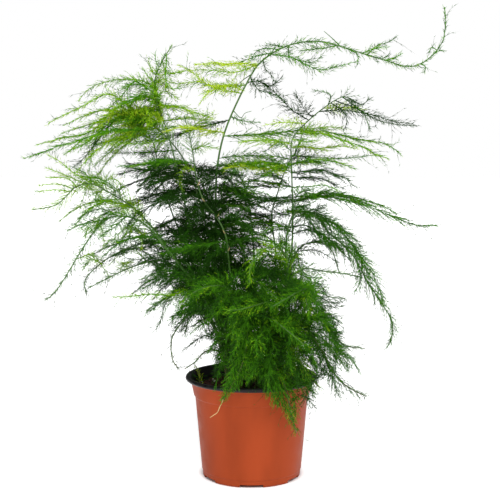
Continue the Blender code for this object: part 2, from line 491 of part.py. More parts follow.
class Path:
    """A curve through points, kept as few straight lines, with a frame carried along it."""

    def __init__(self, points):
        self.points = thin_out(smooth_curve(np.asarray(points, float)), PATH_SLACK)
        steps = np.diff(self.points, axis=0)
        lengths = np.linalg.norm(steps, axis=1)
        self.stops = np.concatenate([[0.0], np.cumsum(lengths)])
        self.length = self.stops[-1]
        self.tangents = steps / lengths[:, None]
        self.normals = self.carry_normals()

    def carry_normals(self):
        """A direction square to each line, the first one up, or to the front where a stem rises."""
        rises = abs(self.tangents[0][2]) > 0.9
        up = np.array([0.0, -1.0, 0.0]) if rises else np.array([0.0, 0.0, 1.0])
        normals = []
        for tangent in self.tangents:
            up = up - tangent * (up @ tangent)
            up /= np.linalg.norm(up)
            normals.append(up)
        return np.array(normals)

    def at(self, stop):
        """Position, tangent, normal and side direction at a length along the path."""
        row = min(max(int(np.searchsorted(self.stops, stop - 0.01)) - 1, 0), len(self.tangents) - 1)
        place = self.points[row] + self.tangents[row] * (stop - self.stops[row])
        tangent, normal = self.tangents[row], self.normals[row]
        if row + 1 < len(self.tangents) and abs(stop - self.stops[row + 1]) < 0.1:
            tangent = tangent + self.tangents[row + 1]
            tangent = tangent / np.linalg.norm(tangent)
            normal = normal + self.normals[row + 1]
            normal = normal - tangent * (normal @ tangent)
            normal /= np.linalg.norm(normal)
        return place, tangent, normal, np.cross(normal, tangent)

    def nearest(self, point):
        """Length along the path of its point nearest to the one given, depth counting less."""
        stops = np.arange(0.0, self.length, 2.0)
        places = np.array([self.at(stop)[0] for stop in stops])
        gap = (places - point) * np.array([1.0, 0.3, 1.0])
        return stops[int(np.argmin(np.linalg.norm(gap, axis=1)))]

    def settle(self, stop):
        """Moves a length that is near a corner onto it, or clear of it where the corner is sharp."""
        corner = 1 + int(np.argmin(np.abs(self.stops[1:-1] - stop))) if len(self.stops) > 2 else 0
        away = stop - self.stops[corner]
        if corner == 0 or abs(away) > CORNER_ROOM:
            return stop
        if self.tangents[corner - 1] @ self.tangents[corner] > math.cos(math.radians(SHARP_CORNER)):
            return self.stops[corner]
        return self.stops[corner] + math.copysign(CORNER_ROOM, away if away else -1.0)

    def gap_to(self, point):
        return line_gaps(point, point + 0.001, self.points[:-1], self.points[1:]).min()


def smooth_curve(points, parts=10):
    """A centripetal Catmull-Rom curve, which keeps from looping where its points are uneven."""
    ends = np.vstack([2 * points[0] - points[1], points, 2 * points[-1] - points[-2]])
    curve = []
    for a, b, c, d in zip(ends, ends[1:], ends[2:], ends[3:]):
        start = math.sqrt(np.linalg.norm(b - a))
        end = start + math.sqrt(np.linalg.norm(c - b))
        last = end + math.sqrt(np.linalg.norm(d - c))
        for t in np.linspace(start, end, parts, endpoint=False):
            before = a + (b - a) * t / start
            between = b + (c - b) * (t - start) / (end - start)
            after = c + (d - c) * (t - end) / (last - end)
            left = before + (between - before) * t / end
            right = between + (after - between) * (t - start) / (last - start)
            curve.append(left + (right - left) * (t - start) / (end - start))
    return np.array(curve + [points[-1]])


def thin_out(curve, slack):
    """Keeps those points of a curve that straight lines need to stay within the slack."""
    kept = {0, len(curve) - 1}
    spans = [(0, len(curve) - 1)]
    while spans:
        first, last = spans.pop()
        if last - first < 2:
            continue
        along = curve[last] - curve[first]
        along /= np.linalg.norm(along)
        apart = curve[first + 1:last] - curve[first]
        away = np.linalg.norm(apart - np.outer(apart @ along, along), axis=1)
        if away.max() > slack:
            middle = first + 1 + int(np.argmax(away))
            kept.add(middle)
            spans += [(first, middle), (middle, last)]
    return curve[sorted(kept)]


class Space:
    """The room taken so far by stems, sprays, twigs and needles, as a list of thick lines."""

    def __init__(self, room=60000):
        self.starts = np.zeros((room, 3))
        self.ends = np.zeros((room, 3))
        self.radii = np.zeros(room)
        self.owners = np.full(room, -1)
        self.stops = np.zeros(room)
        self.count = 0

    def add(self, start, end, radius, owner, stop):
        row = self.count
        self.starts[row] = start
        self.ends[row] = end
        self.radii[row] = radius
        self.owners[row] = owner
        self.stops[row] = stop
        self.count += 1

    def is_free(self, start, end, radius, owner=-1, stop=0.0, skip=0.0):
        """Whether a thick line keeps its clearance, its own stem near its root left aside."""
        count = self.count
        middle = (start + end) / 2
        reach = np.linalg.norm(end - start) / 2 + 4.5
        near = np.abs((self.starts[:count] + self.ends[:count]) / 2 - middle).max(axis=1) < reach + 13
        own = (self.owners[:count] == owner) & (np.abs(self.stops[:count] - stop) < skip)
        rows = np.nonzero(near & ~own)[0]
        if not len(rows):
            return True
        gaps = line_gaps(start, end, self.starts[rows], self.ends[rows])
        return bool((gaps > radius + self.radii[rows] + CLEARANCE).all())


def line_gaps(start, end, starts, ends):
    """Least distances from one line segment to many others."""
    along = end - start
    others = ends - starts
    apart = start - starts
    own = max(along @ along, 1e-9)
    sizes = np.maximum((others * others).sum(axis=1), 1e-9)
    onto = (others * apart).sum(axis=1)
    back = apart @ along
    cross = others @ along
    spread = own * sizes - cross * cross
    s = np.where(spread > 1e-9, (cross * onto - back * sizes) / np.maximum(spread, 1e-9), 0.0)
    t = np.clip((cross * np.clip(s, 0, 1) + onto) / sizes, 0, 1)
    s = np.clip((cross * t - back) / own, 0, 1)
    nearest = apart + s[:, None] * along - t[:, None] * others
    return np.linalg.norm(nearest, axis=1)


def clears_pot(point):
    """Whether a point keeps off the pot's sheet and the soil."""
    reach = math.hypot(point[0], point[1])
    if point[2] > POT_HEIGHT + POT_ROOM:
        return True
    if reach > RIM_RADIUS + POT_ROOM:
        return point[2] > POT_ROOM
    return reach < BODY_TOP_RADIUS - POT_ROOM and point[2] > SOIL_TOP + 2 * POT_ROOM


class Axis:
    """A stem or a side spray: its path, thickness, what leaves it and where."""

    def __init__(self, number, path, start_radius, tip_radius, twig, bare, tone):
        self.number = number
        self.path = path
        self.start_radius = start_radius
        self.tip_radius = tip_radius
        self.twig = twig
        self.bare = bare
        self.tone = tone
        self.twist = 0.0 if twig > FLAT_TWIG else PLUME_TWIST
        self.root = 0.0
        self.first = 0.0
        self.children = []

    def turned(self, stop):
        """How far a plume's faces have turned round at a length along it."""
        return self.twist * max(0.0, stop - self.bare * self.path.length)

    def radius(self, stop):
        share = min(max(stop / self.path.length, 0.0), 1.0)
        return self.start_radius + (self.tip_radius - self.start_radius) * share

    def lines(self, first=0.0):
        """The path from a length on, in short pieces."""
        for start, end in zip(self.path.stops, self.path.stops[1:]):
            parts = max(1, round((end - start) / CLAIM_STEP))
            cuts = np.linspace(start, end, parts + 1)
            for a, b in zip(cuts, cuts[1:]):
                if b > first:
                    a = max(a, first)
                    yield self.path.at(a)[0], self.path.at(b)[0], (a + b) / 2

    def claim(self, space):
        for start, end, stop in self.lines():
            space.add(start, end, self.radius(stop), self.number, stop)


def clear_share(axis, space, parent=-1, root=0.0, first=0.0):
    """Share of a path's lines that keep clear of all that stands already and of the pot."""
    lines = list(axis.lines(first))
    free = 0
    for start, end, stop in lines:
        skip = ROOT_REACH if stop < ROOT_REACH else 0.0
        in_soil = parent < 0 and stop < 2 * HOLE_DEPTH
        if space.is_free(start, end, axis.radius(stop), parent, root, skip) and (in_soil or clears_pot(end)):
            free += 1
    return free / max(1, len(lines))


def place_stem(number, tone, foot, bare, twig, points, space):
    """The stem's axis, from its hole in the soil, moved in depth until it is clear."""
    best = None
    for shift in DEPTH_SHIFTS:
        base = [np.array([*foot, SOIL_TOP - HOLE_DEPTH]), np.array([*foot, SOIL_TOP + COLLAR_HEIGHT])]
        path = Path(base + [seen(x, z, y + shift) for x, z, y in points])
        size = (STEM_RADIUS, STEM_TIP_RADIUS) if path.length > LONG_STEM else (SPRAY_RADIUS, SPRAY_TIP_RADIUS)
        axis = Axis(number, path, *size, twig, bare, tone)
        share = clear_share(axis, space)
        if best is None or share > best[0]:
            best = (share, axis)
        if share == 1.0:
            break
    best[1].claim(space)
    return best[1]


def free_root(stem, stop, gap=ROOT_GAP):
    """A length on the stem near the one wanted, with room for another root."""
    taken = [child.root for child in stem.children]
    for move in ROOT_SHIFTS:
        place = stem.path.settle(stop + move)
        above = 2 * HOLE_DEPTH < place < stem.path.length - TIP_LENGTH - NODE_LENGTH
        if above and all(abs(place - other) > gap for other in taken):
            return place
    return None


def make_spray(number, stem, root, points, tone, twig):
    """A side spray from a length on its stem, and where it first stands free of the stem."""
    spray = Axis(number, Path(points), SPRAY_RADIUS, SPRAY_TIP_RADIUS, twig, 0.0, tone)
    spray.root = root
    spray.first = 1.0
    free = stem.radius(root) + SPRAY_GAP
    while spray.first < spray.path.length - 4.0 and stem.path.gap_to(spray.path.at(spray.first)[0]) < free:
        spray.first += 0.3
    return spray


def faces_spray(stem, spray):
    """Whether the spray leaves its stem well within one of the stem's three faces."""
    place, _, normal, side = stem.path.at(spray.root)
    away = spray.path.at(spray.first)[0] - place
    angle = math.degrees(math.atan2(away @ normal, away @ side) - stem.turned(spray.root))
    return abs((angle - 90.0 + 60.0) % 120.0 - 60.0) < FACE_REACH


def place_spray(number, stem, tone, twig, points, space):
    """A side spray that leaves the stem near its first point and is bent clear in depth."""
    best = None
    root = free_root(stem, stem.path.nearest(seen(*points[0])))
    start = stem.path.at(root)[0]
    for shift in DEPTH_SHIFTS:
        bent = [start] + [seen(x, z, y + shift) for x, z, y in points[1:]]
        spray = make_spray(number, stem, root, bent, tone, twig)
        share = clear_share(spray, space, stem.number, root, spray.first)
        if not faces_spray(stem, spray):
            share -= 0.01
        if best is None or share > best[0]:
            best = (share, spray)
        if share == 1.0:
            break
    best[1].claim(space)
    stem.children.append(best[1])
    return best[1]


def fill_bush(number, stem, share, space, chance):
    """A short spray out of a rising bush stem, at any angle that is clear, or None."""
    root = free_root(stem, stem.path.length * share)
    if root is None:
        return None
    start = stem.path.at(root)[0]
    for _ in range(BUSH_TRIES):
        turn = chance.uniform(0.0, math.tau)
        out = np.array([math.cos(turn), math.sin(turn), 0.0]) * chance.uniform(*BUSH_REACH)
        rise = np.array([0.0, 0.0, chance.uniform(3.0, 9.0)])
        points = [start, start + out * 0.4 + rise, start + out * 0.8 + rise, start + out - rise * 0.4]
        spray = make_spray(number, stem, root, points, stem.tone, BUSH_TWIG)
        inside = BUSH_LEFT < points[-1][0] < BUSH_RIGHT and points[-1][2] < BUSH_TOP
        if not (inside and faces_spray(stem, spray)):
            continue
        if clear_share(spray, space, stem.number, root, spray.first) == 1.0:
            spray.claim(space)
            stem.children.append(spray)
            return spray
    return None


class Spike:
    """A twig or a needle: a slim point raised from one face of its stem."""

    def __init__(self, out, tip):
        self.out = out
        self.tip = tip


def twig_size(axis, stop):
    """Length of a twig: short by the spray's root, longest at a quarter, shorter to its tip."""
    start = axis.bare * axis.path.length
    share = (stop - start) / max(axis.path.length - start, 1.0)
    return axis.twig * min(1.0, 0.5 + 3.0 * share) * (1.0 - 0.65 * share ** 1.5)


def twig_stops(axis, spacing):
    """Lengths along an axis where twigs may leave: its corners, and even steps between them."""
    first = max(axis.bare * axis.path.length, axis.first + TIP_LENGTH)
    stops = []
    for start, end in zip(axis.path.stops, axis.path.stops[1:]):
        parts = max(1, round((end - start) / spacing))
        stops += [stop for stop in np.linspace(start, end, parts + 1)[1:] if stop > first]
    kept = []
    for stop in stops:
        far = not kept or stop - kept[-1] > spacing * 0.7
        if far and stop < axis.path.length - TIP_LENGTH - NODE_LENGTH:
            kept.append(stop)
    return kept


def grow_twigs(axis, space, chance, spacing):
    """Whorls along an axis: two twigs and a needle, spread flat or all round."""
    if axis.twig == 0:
        return
    for number, wanted in enumerate(twig_stops(axis, spacing)):
        stop = free_root(axis, wanted, WHORL_GAP)
        if stop is None:
            continue
        size = max(NEEDLE_LENGTH, twig_size(axis, stop))
        short = 0 if axis.twist == 0.0 else number % 3
        spikes = []
        for face in range(3):
            angle = math.radians(90.0 + 120.0 * face) + axis.turned(stop)
            length = NEEDLE_LENGTH if face == short else size
            spikes.append(raise_spike(axis, stop, angle, length, space, chance))
        spikes = [spike for spike in spikes if spike]
        if spikes:
            axis.children.append(Whorl(stop, spikes))


class Whorl:
    """The twigs and needles that leave an axis at one node."""

    def __init__(self, root, spikes):
        self.root = root
        self.spikes = spikes


def raise_spike(axis, stop, angle, length, space, chance):
    """A clear twig or needle near the wanted angle, or None where there is no room."""
    place, tangent, normal, side = axis.path.at(stop)
    broad = math.hypot(NODE_LENGTH / 2, axis.radius(stop) * math.cos(math.pi / 6))
    for attempt in range(SPIKE_TRIES):
        lean = math.radians(chance.uniform(*TWIG_LEAN))
        swing = angle + math.radians(chance.uniform(-TWIG_SWING, TWIG_SWING))
        out = math.cos(swing) * side + math.sin(swing) * normal
        direction = math.sin(lean) * out + math.cos(lean) * tangent
        direction[2] -= TWIG_DROOP * length / 20.0
        direction /= np.linalg.norm(direction)
        size = length * (1.0 - 0.13 * attempt)
        root = place + out * axis.radius(stop) * 0.5
        start, middle, tip = (root + direction * reach for reach in (0.9, 0.9 + 0.35 * size, size))
        if direction @ out < 0.45 or not (clears_pot(tip) and clears_pot(middle)):
            continue
        low = space.is_free(start, middle, broad * 0.8, axis.number, stop, SPIKE_REACH)
        if low and space.is_free(middle, tip, broad * 0.4, axis.number, stop, SPIKE_REACH):
            space.add(start, middle, broad * 0.8, axis.number, stop)
            space.add(middle, tip, broad * 0.4, axis.number, stop)
            return Spike(out, tip)
    return None


def extrude_to(mesh, face, ring):
    """Extrudes one face and sets its corners on a ring of places."""
    cap = bmesh.ops.extrude_discrete_faces(mesh, faces=[face])["faces"][0]
    for corner, place in zip(cap.verts, ring):
        corner.co = place * MM
    return cap


def matched_angles(face, axis, first):
    """Even angles for the first ring, in the order that leads least far from a face's corners."""
    corners = [np.array(corner.co) / MM for corner in face.verts]
    best = None
    for shift in range(3):
        angles = [math.radians(30.0 + 120.0 * ((k + shift) % 3)) for k in range(3)]
        ring = ring_places(axis, first, angles)
        cost = sum(float((place - corner) @ (place - corner)) for place, corner in zip(ring, corners))
        if best is None or cost < best[0]:
            best = (cost, angles)
    return best


def ring_places(axis, stop, angles):
    """Three places around an axis; the ring of a round plume turns slowly along it."""
    place, _, normal, side = axis.path.at(stop)
    angles = [angle + axis.turned(stop) for angle in angles]
    radius = axis.radius(stop)
    return [place + radius * (math.cos(a) * side + math.sin(a) * normal) for a in angles]


def side_faces(cap):
    """The three faces between a cap and the ring before it."""
    sides = [face for edge in cap.edges for face in edge.link_faces if face is not cap]
    for face in sides:
        face.normal_update()
    return sides


def take_face(sides, direction):
    """Takes from a list the face that looks most along a direction."""
    best = max(sides, key=lambda face: np.array(face.normal) @ direction)
    sides.remove(best)
    return best


def grow_tube(mesh, cap, axis, first):
    """Extrudes a three-sided tube along an axis, with all that leaves it."""
    angles = matched_angles(cap, axis, first)[1]
    cap.normal_update()
    out, along = np.array(cap.normal), axis.path.at(first)[1]
    corners = np.array([corner.co for corner in cap.verts]) / MM
    middle = corners.mean(axis=0)
    ring = np.array(ring_places(axis, first, angles))
    corners, ring = corners - middle, ring - ring.mean(axis=0)
    if (corners * ring).sum() < COLLAR_MATCH * np.linalg.norm(corners) * np.linalg.norm(ring):
        cap = extrude_to(mesh, cap, middle + COLLAR_RISE * out + 0.4 * along + (corners + ring) / 2)
    cap = extrude_to(mesh, cap, ring_places(axis, first, angles))
    reached = first
    reach = NODE_LENGTH / 2
    for child in sorted(axis.children, key=lambda item: item.root):
        cap = grow_plain(mesh, cap, axis, angles, reached, child.root - reach)
        cap = extrude_to(mesh, cap, ring_places(axis, child.root + reach, angles))
        reached = child.root + reach
        sides = side_faces(cap)
        if isinstance(child, Whorl):
            for spike in child.spikes:
                face = take_face(sides, spike.out)
                point = bmesh.ops.poke(mesh, faces=[face])["verts"][0]
                point.co = Vector(spike.tip * MM)
        else:
            start = axis.path.at(child.root)[0]
            face = take_face(sides, child.path.at(child.first)[0] - start)
            halves = bmesh.ops.triangulate(mesh, faces=[face])["faces"]
            half = min(halves, key=lambda part: matched_angles(part, child, child.first)[0])
            grow_tube(mesh, half, child, child.first)
    cap = grow_plain(mesh, cap, axis, angles, reached, axis.path.length - TIP_LENGTH)
    point = bmesh.ops.poke(mesh, faces=[cap])["verts"][0]
    point.co = Vector(axis.path.points[-1] * MM)


def grow_plain(mesh, cap, axis, angles, start, end):
    """Extrudes a bare stretch, with a ring at each corner of the path."""
    for stop in axis.path.stops:
        if start + 1.5 < stop < end - 1.5:
            cap = extrude_to(mesh, cap, ring_places(axis, stop, angles))
    return extrude_to(mesh, cap, ring_places(axis, end, angles))


def build_stem(name, axis, material):
    """One closed mesh: a stem with its sprays, twigs and needles."""
    mesh = bmesh.new()
    low, high = SOIL_TOP - HOLE_DEPTH, SOIL_TOP + COLLAR_HEIGHT
    foot = axis.path.points[0]
    base = Matrix.Translation(Vector((foot[0], foot[1], (low + high) / 2)) * MM)
    bmesh.ops.create_cone(mesh, cap_ends=True, segments=3, radius1=axis.start_radius * MM,
                          radius2=axis.start_radius * MM, depth=(high - low) * MM, matrix=base)
    for face in mesh.faces:
        face.normal_update()
    cap = max(mesh.faces, key=lambda face: face.normal.z)
    grow_tube(mesh, cap, axis, high - low + TIP_LENGTH)
    bmesh.ops.triangulate(mesh, faces=mesh.faces[:])
    return add_object(name, mesh, material)


def add_object(name, mesh, material):
    """Makes a named object from a bmesh and gives it its material."""
    data = bpy.data.meshes.new(name)
    mesh.to_mesh(data)
    mesh.free()
    data.materials.append(material)
    item = bpy.data.objects.new(name, data)
    bpy.context.scene.collection.objects.link(item)
    return item


def make_material(name, colour, roughness):
    """A Principled material of one colour."""
    material = bpy.data.materials.new(name)
    material.use_nodes = True
    shader = material.node_tree.nodes["Principled BSDF"]
    shader.inputs["Base Color"].default_value = (*colour, 1.0)
    shader.inputs["Roughness"].default_value = roughness
    shader.inputs["Metallic"].default_value = 0.0
    return material


def spin_profile(profile, sides):
    """A closed body of revolution from a profile whose two ends lie on the Z axis."""
    mesh = bmesh.new()
    corners = [mesh.verts.new((radius * MM, 0.0, height * MM)) for radius, height in profile]
    edges = [mesh.edges.new(pair) for pair in zip(corners, corners[1:])]
    bmesh.ops.spin(mesh, geom=corners + edges, cent=(0, 0, 0), axis=(0, 0, 1), angle=math.tau,
                   steps=sides, use_merge=True)
    bmesh.ops.remove_doubles(mesh, verts=mesh.verts[:], dist=0.001 * MM)
    bmesh.ops.recalc_face_normals(mesh, faces=mesh.faces[:])
    return mesh


def inner_radius(height):
    """Radius of the pot's inside at a height."""
    wall = POT_INSIDE[2:]
    return float(np.interp(height, [point[1] for point in wall], [point[0] for point in wall]))


def cut(item, cutter):
    """Cuts one object out of another and keeps the cutter as a guide."""
    boolean = item.modifiers.new("cut", "BOOLEAN")
    boolean.operation = "DIFFERENCE"
    boolean.solver = "EXACT"
    boolean.object = cutter
    cutter.hide_render = True
    cutter.display_type = "WIRE"


def make_pot(material):
    """The pot: one sheet with a flared collar, a rolled lip and six feet between notches."""
    mesh = spin_profile(POT_OUTSIDE + POT_INSIDE[::-1] + [(0.0, FLOOR_UNDERSIDE + SHEET)], POT_SIDES)
    pot = add_object("pot", mesh, material)
    for face in pot.data.polygons:
        face.use_smooth = True
    pot.data.set_sharp_from_angle(angle=math.radians(40.0))
    notches = bmesh.new()
    for number in range(NOTCHES):
        turn = -math.pi / 2 + math.tau * number / NOTCHES
        length = RIM_RADIUS - NOTCH_INNER_RADIUS
        size = Matrix.Diagonal((length * MM, NOTCH_WIDTH * MM, NOTCH_HEIGHT * 2 * MM, 1.0))
        place = Matrix.Translation(((NOTCH_INNER_RADIUS + length / 2) * MM, 0.0, 0.0))
        matrix = Matrix.Rotation(turn, 4, "Z") @ place @ size
        bmesh.ops.create_cube(notches, size=1.0, matrix=matrix)
    cut(pot, add_object("drain_notch_guide", notches, material))
    return pot


def make_soil(material, stems):
    """The soil: it fills the pot to below its rim, lumpy on top, with a plain hole a stem."""
    floor = FLOOR_UNDERSIDE + SHEET + CLEARANCE
    edge = SOIL_TOP - 1.5
    base = [(0.0, floor)]
    heights = (floor, STEP_HEIGHT, edge)
    wall = [(inner_radius(height) - CLEARANCE, height) for height in heights]
    top = [(44.0, SOIL_TOP - 0.6), (30.0, SOIL_TOP), (15.0, SOIL_TOP), (0.0, SOIL_TOP)]
    mesh = spin_profile(base + wall + top, POT_SIDES)
    for corner in mesh.verts:
        x, y, z = corner.co / MM
        if z > SOIL_TOP - 1.0:
            lumps = 0.5 * math.sin(x * 0.31 + 1.0) * math.cos(y * 0.27) + 0.3 * math.sin(x * 0.9 + y * 0.7)
            corner.co.z += lumps * MM
    soil = add_object("soil", mesh, material)
    holes = bmesh.new()
    for stem in stems:
        foot = stem.path.points[0]
        radius = (stem.start_radius + CLEARANCE) / math.cos(math.pi / HOLE_SIDES) + 0.1
        depth = HOLE_DEPTH + 6.0
        middle = SOIL_TOP - HOLE_DEPTH - CLEARANCE + depth / 2
        place = Matrix.Translation(Vector((foot[0], foot[1], middle)) * MM)
        bmesh.ops.create_cone(holes, cap_ends=True, segments=HOLE_SIDES, radius1=radius * MM,
                              radius2=radius * MM, depth=depth * MM, matrix=place)
    cut(soil, add_object("stem_hole_guide", holes, material))
    return soil


def clear_scene():
    for item in list(bpy.data.objects):
        bpy.data.objects.remove(item)


def main():
    clear_scene()
    chance = np.random.default_rng(SEED)
    space = Space()
    stems = {}
    for number, (name, tone, foot, bare, twig, points) in enumerate(STEMS):
        stems[name] = place_stem(number, tone, foot, bare, twig, points, space)
    axes = list(stems.values())
    for number, (name, tone, twig, points) in enumerate(SPRAYS, len(STEMS)):
        axes.append(place_spray(number, stems[name], tone, twig, points, space))
    for name in BUSH_STEMS:
        for share in BUSH_SHARES:
            spray = fill_bush(len(axes), stems[name], share, space, chance)
            if spray:
                axes.append(spray)
    for axis in axes:
        grow_twigs(axis, space, chance, TWIG_SPACING)

    leaves = [make_material(name, colour, 0.55) for name, colour in LEAF_COLOURS]
    for name, stem in stems.items():
        shade = min(int(stem.tone * len(leaves)), len(leaves) - 1)
        build_stem(name, stem, leaves[shade])
    make_pot(make_material("terracotta_plastic", POT_COLOUR, 0.4))
    make_soil(make_material("potting_soil", SOIL_COLOUR, 0.95), stems.values())


main()
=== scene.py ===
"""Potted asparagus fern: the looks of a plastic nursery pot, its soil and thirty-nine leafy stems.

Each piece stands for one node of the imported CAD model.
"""

import math

import bmesh
import bpy
import numpy as np
from bpy.props import FloatProperty, FloatVectorProperty, IntProperty, PointerProperty
from mathutils import Euler, Matrix, Vector, noise


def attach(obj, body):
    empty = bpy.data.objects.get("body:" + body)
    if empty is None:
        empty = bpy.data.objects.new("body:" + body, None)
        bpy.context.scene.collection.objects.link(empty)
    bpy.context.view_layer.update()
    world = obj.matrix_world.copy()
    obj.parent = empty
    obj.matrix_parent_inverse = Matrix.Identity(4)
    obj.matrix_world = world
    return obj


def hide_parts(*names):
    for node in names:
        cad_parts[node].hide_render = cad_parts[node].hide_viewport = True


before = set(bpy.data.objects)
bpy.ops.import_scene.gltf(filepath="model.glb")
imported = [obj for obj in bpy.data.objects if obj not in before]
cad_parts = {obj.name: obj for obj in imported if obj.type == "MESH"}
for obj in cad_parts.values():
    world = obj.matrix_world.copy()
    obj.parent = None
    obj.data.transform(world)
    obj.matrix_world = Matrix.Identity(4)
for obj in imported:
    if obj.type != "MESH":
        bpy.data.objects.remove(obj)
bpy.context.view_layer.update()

bl_info = {
    "name": "Potted Asparagus Fern",
    "version": (1, 0, 0),
    "blender": (4, 5, 0),
    "location": "3D View > Sidebar > Fern",
    "description": "Builds a potted asparagus fern over its CAD model, and a small studio",
    "category": "Add Mesh",
}

# Lengths below are in millimetres, save where a comment says metres
MM = 0.001

# The front view from which the stems were drawn: the eye's height and its distance from the pot's
# axis, how far down it looks in degrees, and its lens and shifts as shares of the picture's width
EYE_HEIGHT = 309.0
EYE_DISTANCE = 1006.0
EYE_TILT = 5.7
FOCAL_LENGTH = 2.248
EYE_SHIFTS = (-0.003, -0.006)
SENSOR_WIDTH = 36.0

# Radius and height along the pot's sheet, from the floor's middle out and up, and back down inside
POT_OUTSIDE = (
    (0, 0), (11, 0), (12, 4), (34.4, 4), (35.6, 0), (43.6, 0), (44.4, 1), (44.8, 6.2), (45.4, 6.8),
    (51.2, 73.4), (52.5, 74.8), (54.2, 83), (55.4, 87.2), (56.8, 88.1))
LINING_EDGE = ((56.8, 88.1), (59.2, 88.7), (60, 90), (59.6, 91.4), (58.6, 92), (56.6, 92), (55.4, 91.2),
               (54, 87.6), (53, 83.2))
LINING_INSIDE = ((51.3, 74.9), (50, 73.4), (43.8, 6.8), (43.2, 5.2), (0, 5.2))
SHEET_MIDDLE = ((54.7, 87.2), (53.6, 83.1), (51.9, 74.85), (50.6, 73.4), (44.6, 6.8), (36, 4.6), (0, 4.6))
LINING_ROUNDING = 0.35
RIM_RADIUS = 60.0
RIM_HEIGHT = 92.0

# Drain notches: how many, the radius where each starts, its width and height, and its rounding
NOTCHES = 6
NOTCH = (33.0, 20.6, 2.6)
NOTCH_ROUNDING = 0.6

# Corners nearer than this become one
SAME_PLACE = 0.002

# The soil: its surface's height in metres, the radius and spacing of its surface's rings, the steps
# round it, its side and underside as radius and height, and where stems start in it and leave it
SOIL_TOP = 0.082
SOIL_RADIUS = 51.0
RING_SPACING = 1.25
SOIL_STEPS = 120
SOIL_BELOW = ((49, 74), (43.3, 8), (0, 8))
STEM_START = 72.0
STEM_LEAVES_SOIL = 84.0

# Lumps of its surface: height, waves a metre and slice of the noise; then the radius in metres past
# which it sinks towards the wall, and how steeply
SOIL_LUMPS = ((1.3, 70, 0.0), (0.7, 210, 4.0))
SINKS_PAST = 0.043
SINKING = 0.12

# What lies on it: how many pebble shapes are copied, their proportions, the share of its width that
# one is lifted, the width of a pellet, and how far out pebbles lie and threads start and end
PEBBLE_SHAPES = 5
PEBBLE_SIDES = (1.0, 0.85, 0.7)
PEBBLE_LIFT = 0.15
PELLET_SIZE = 3.2
PEBBLE_REACH = 50.5
THREAD_REACH = 47.0
THREAD_LIMIT = 49.0
THREAD_POINTS = 4

# Sides and rings of the tubes of stems, of long and of filling sprays, and of coir threads
STEM_TUBE, SPRAY_TUBE, FILLING_TUBE, THREAD_TUBE = (7, 56), (4, 16), (3, 6), (3, 7)

# Radii at root and tip of long and of filling sprays, of dried shoots and of coir threads, and of a
# stem at its tip
SPRAY_RADII, FILLING_RADII, DRY_RADII, THREAD_RADII = (0.5, 0.22), (0.4, 0.2), (0.42, 0.25), (0.16, 0.1)
STEM_TIP = 0.4

# Twigs longer than the first lie flat in a frond, save in a plume, and longer than the second bend
FLAT_TWIG = 13.0
BENT_TWIG = 12.0

# Twigs: radius, how many times wider they are drawn at their bend, shortest length, degrees that they
# lean out, and radians from one to the next in a plume; then, for a plume and for a frond, how many
# are lost towards the branch's tip, and by how much and how suddenly the others shorten there
TWIG_RADIUS = 0.24
BEND_WIDTH = 1.6
SHORTEST_TWIG = 3.0
TWIG_LEAN = (42.0, 56.0)
TWIG_TURN = 2.4
PLUME_TIP = (0.2, 0.7, 3)
FROND_TIP = (0.55, 0.85, 1.6)

# Strays, the hair-thin twigs: radius, distance from one to the next, lengths, degrees that they lean
# out, and the share of a twig's needles that they bear
STRAY_RADIUS = 0.16
STRAY_SPACING = 9.0
STRAY_LENGTHS = (9.0, 20.0)
STRAY_LEAN = (28.0, 70.0)
STRAY_NEEDLES = 0.35

# Degrees that needles lean out, on twigs and straight on a branch
NEEDLE_LEAN = (20.0, 44.0)
BRANCH_NEEDLE_LEAN = (24.0, 52.0)

# Filling sprays: the share of the stem where they start, how far they rise, how many tries each has,
# how far below its zone one may start, and how far it keeps out from the rim and above it
FILLING_START = (0.12, 0.9)
FILLING_RISE = (2.0, 12.0)
FILLING_TRIES = 60
ZONE_SLACK = 20.0
RIM_ROOM = 2.0
RIM_CLEARANCE = 1.0

# A fern piece's materials, by their place in its mesh
NEEDLES, STALK, DRY = 0, 1, 2

# The fern's own map: its margin, how much of its width the tones span, how much one copy's turn takes
# across and along, and a stalk's turn along, and where needles and twigs start along it and how far
# they run
MAP_MARGIN = 0.02
MAP_TONES = 0.96
MAP_TURN = (0.008, 0.02)
STALK_TURN = 0.22
NEEDLE_STRIP = (0.3, 0.66)
TWIG_STRIP = (0.32, 0.2)

# The paper's painted glow, as it is no lamp: in metres from the axis, where it starts under the pot, whose
# missing glow paints a shadow there, and where it is full, and from where to where more is added, so that
# the paper meets the backdrop without an edge
PAINTED_SHADOW_EDGE = (0.0432, 0.052)
FAR_EDGE = (0.3, 2.5)
FAR_PAINTED_GLOW = 0.5
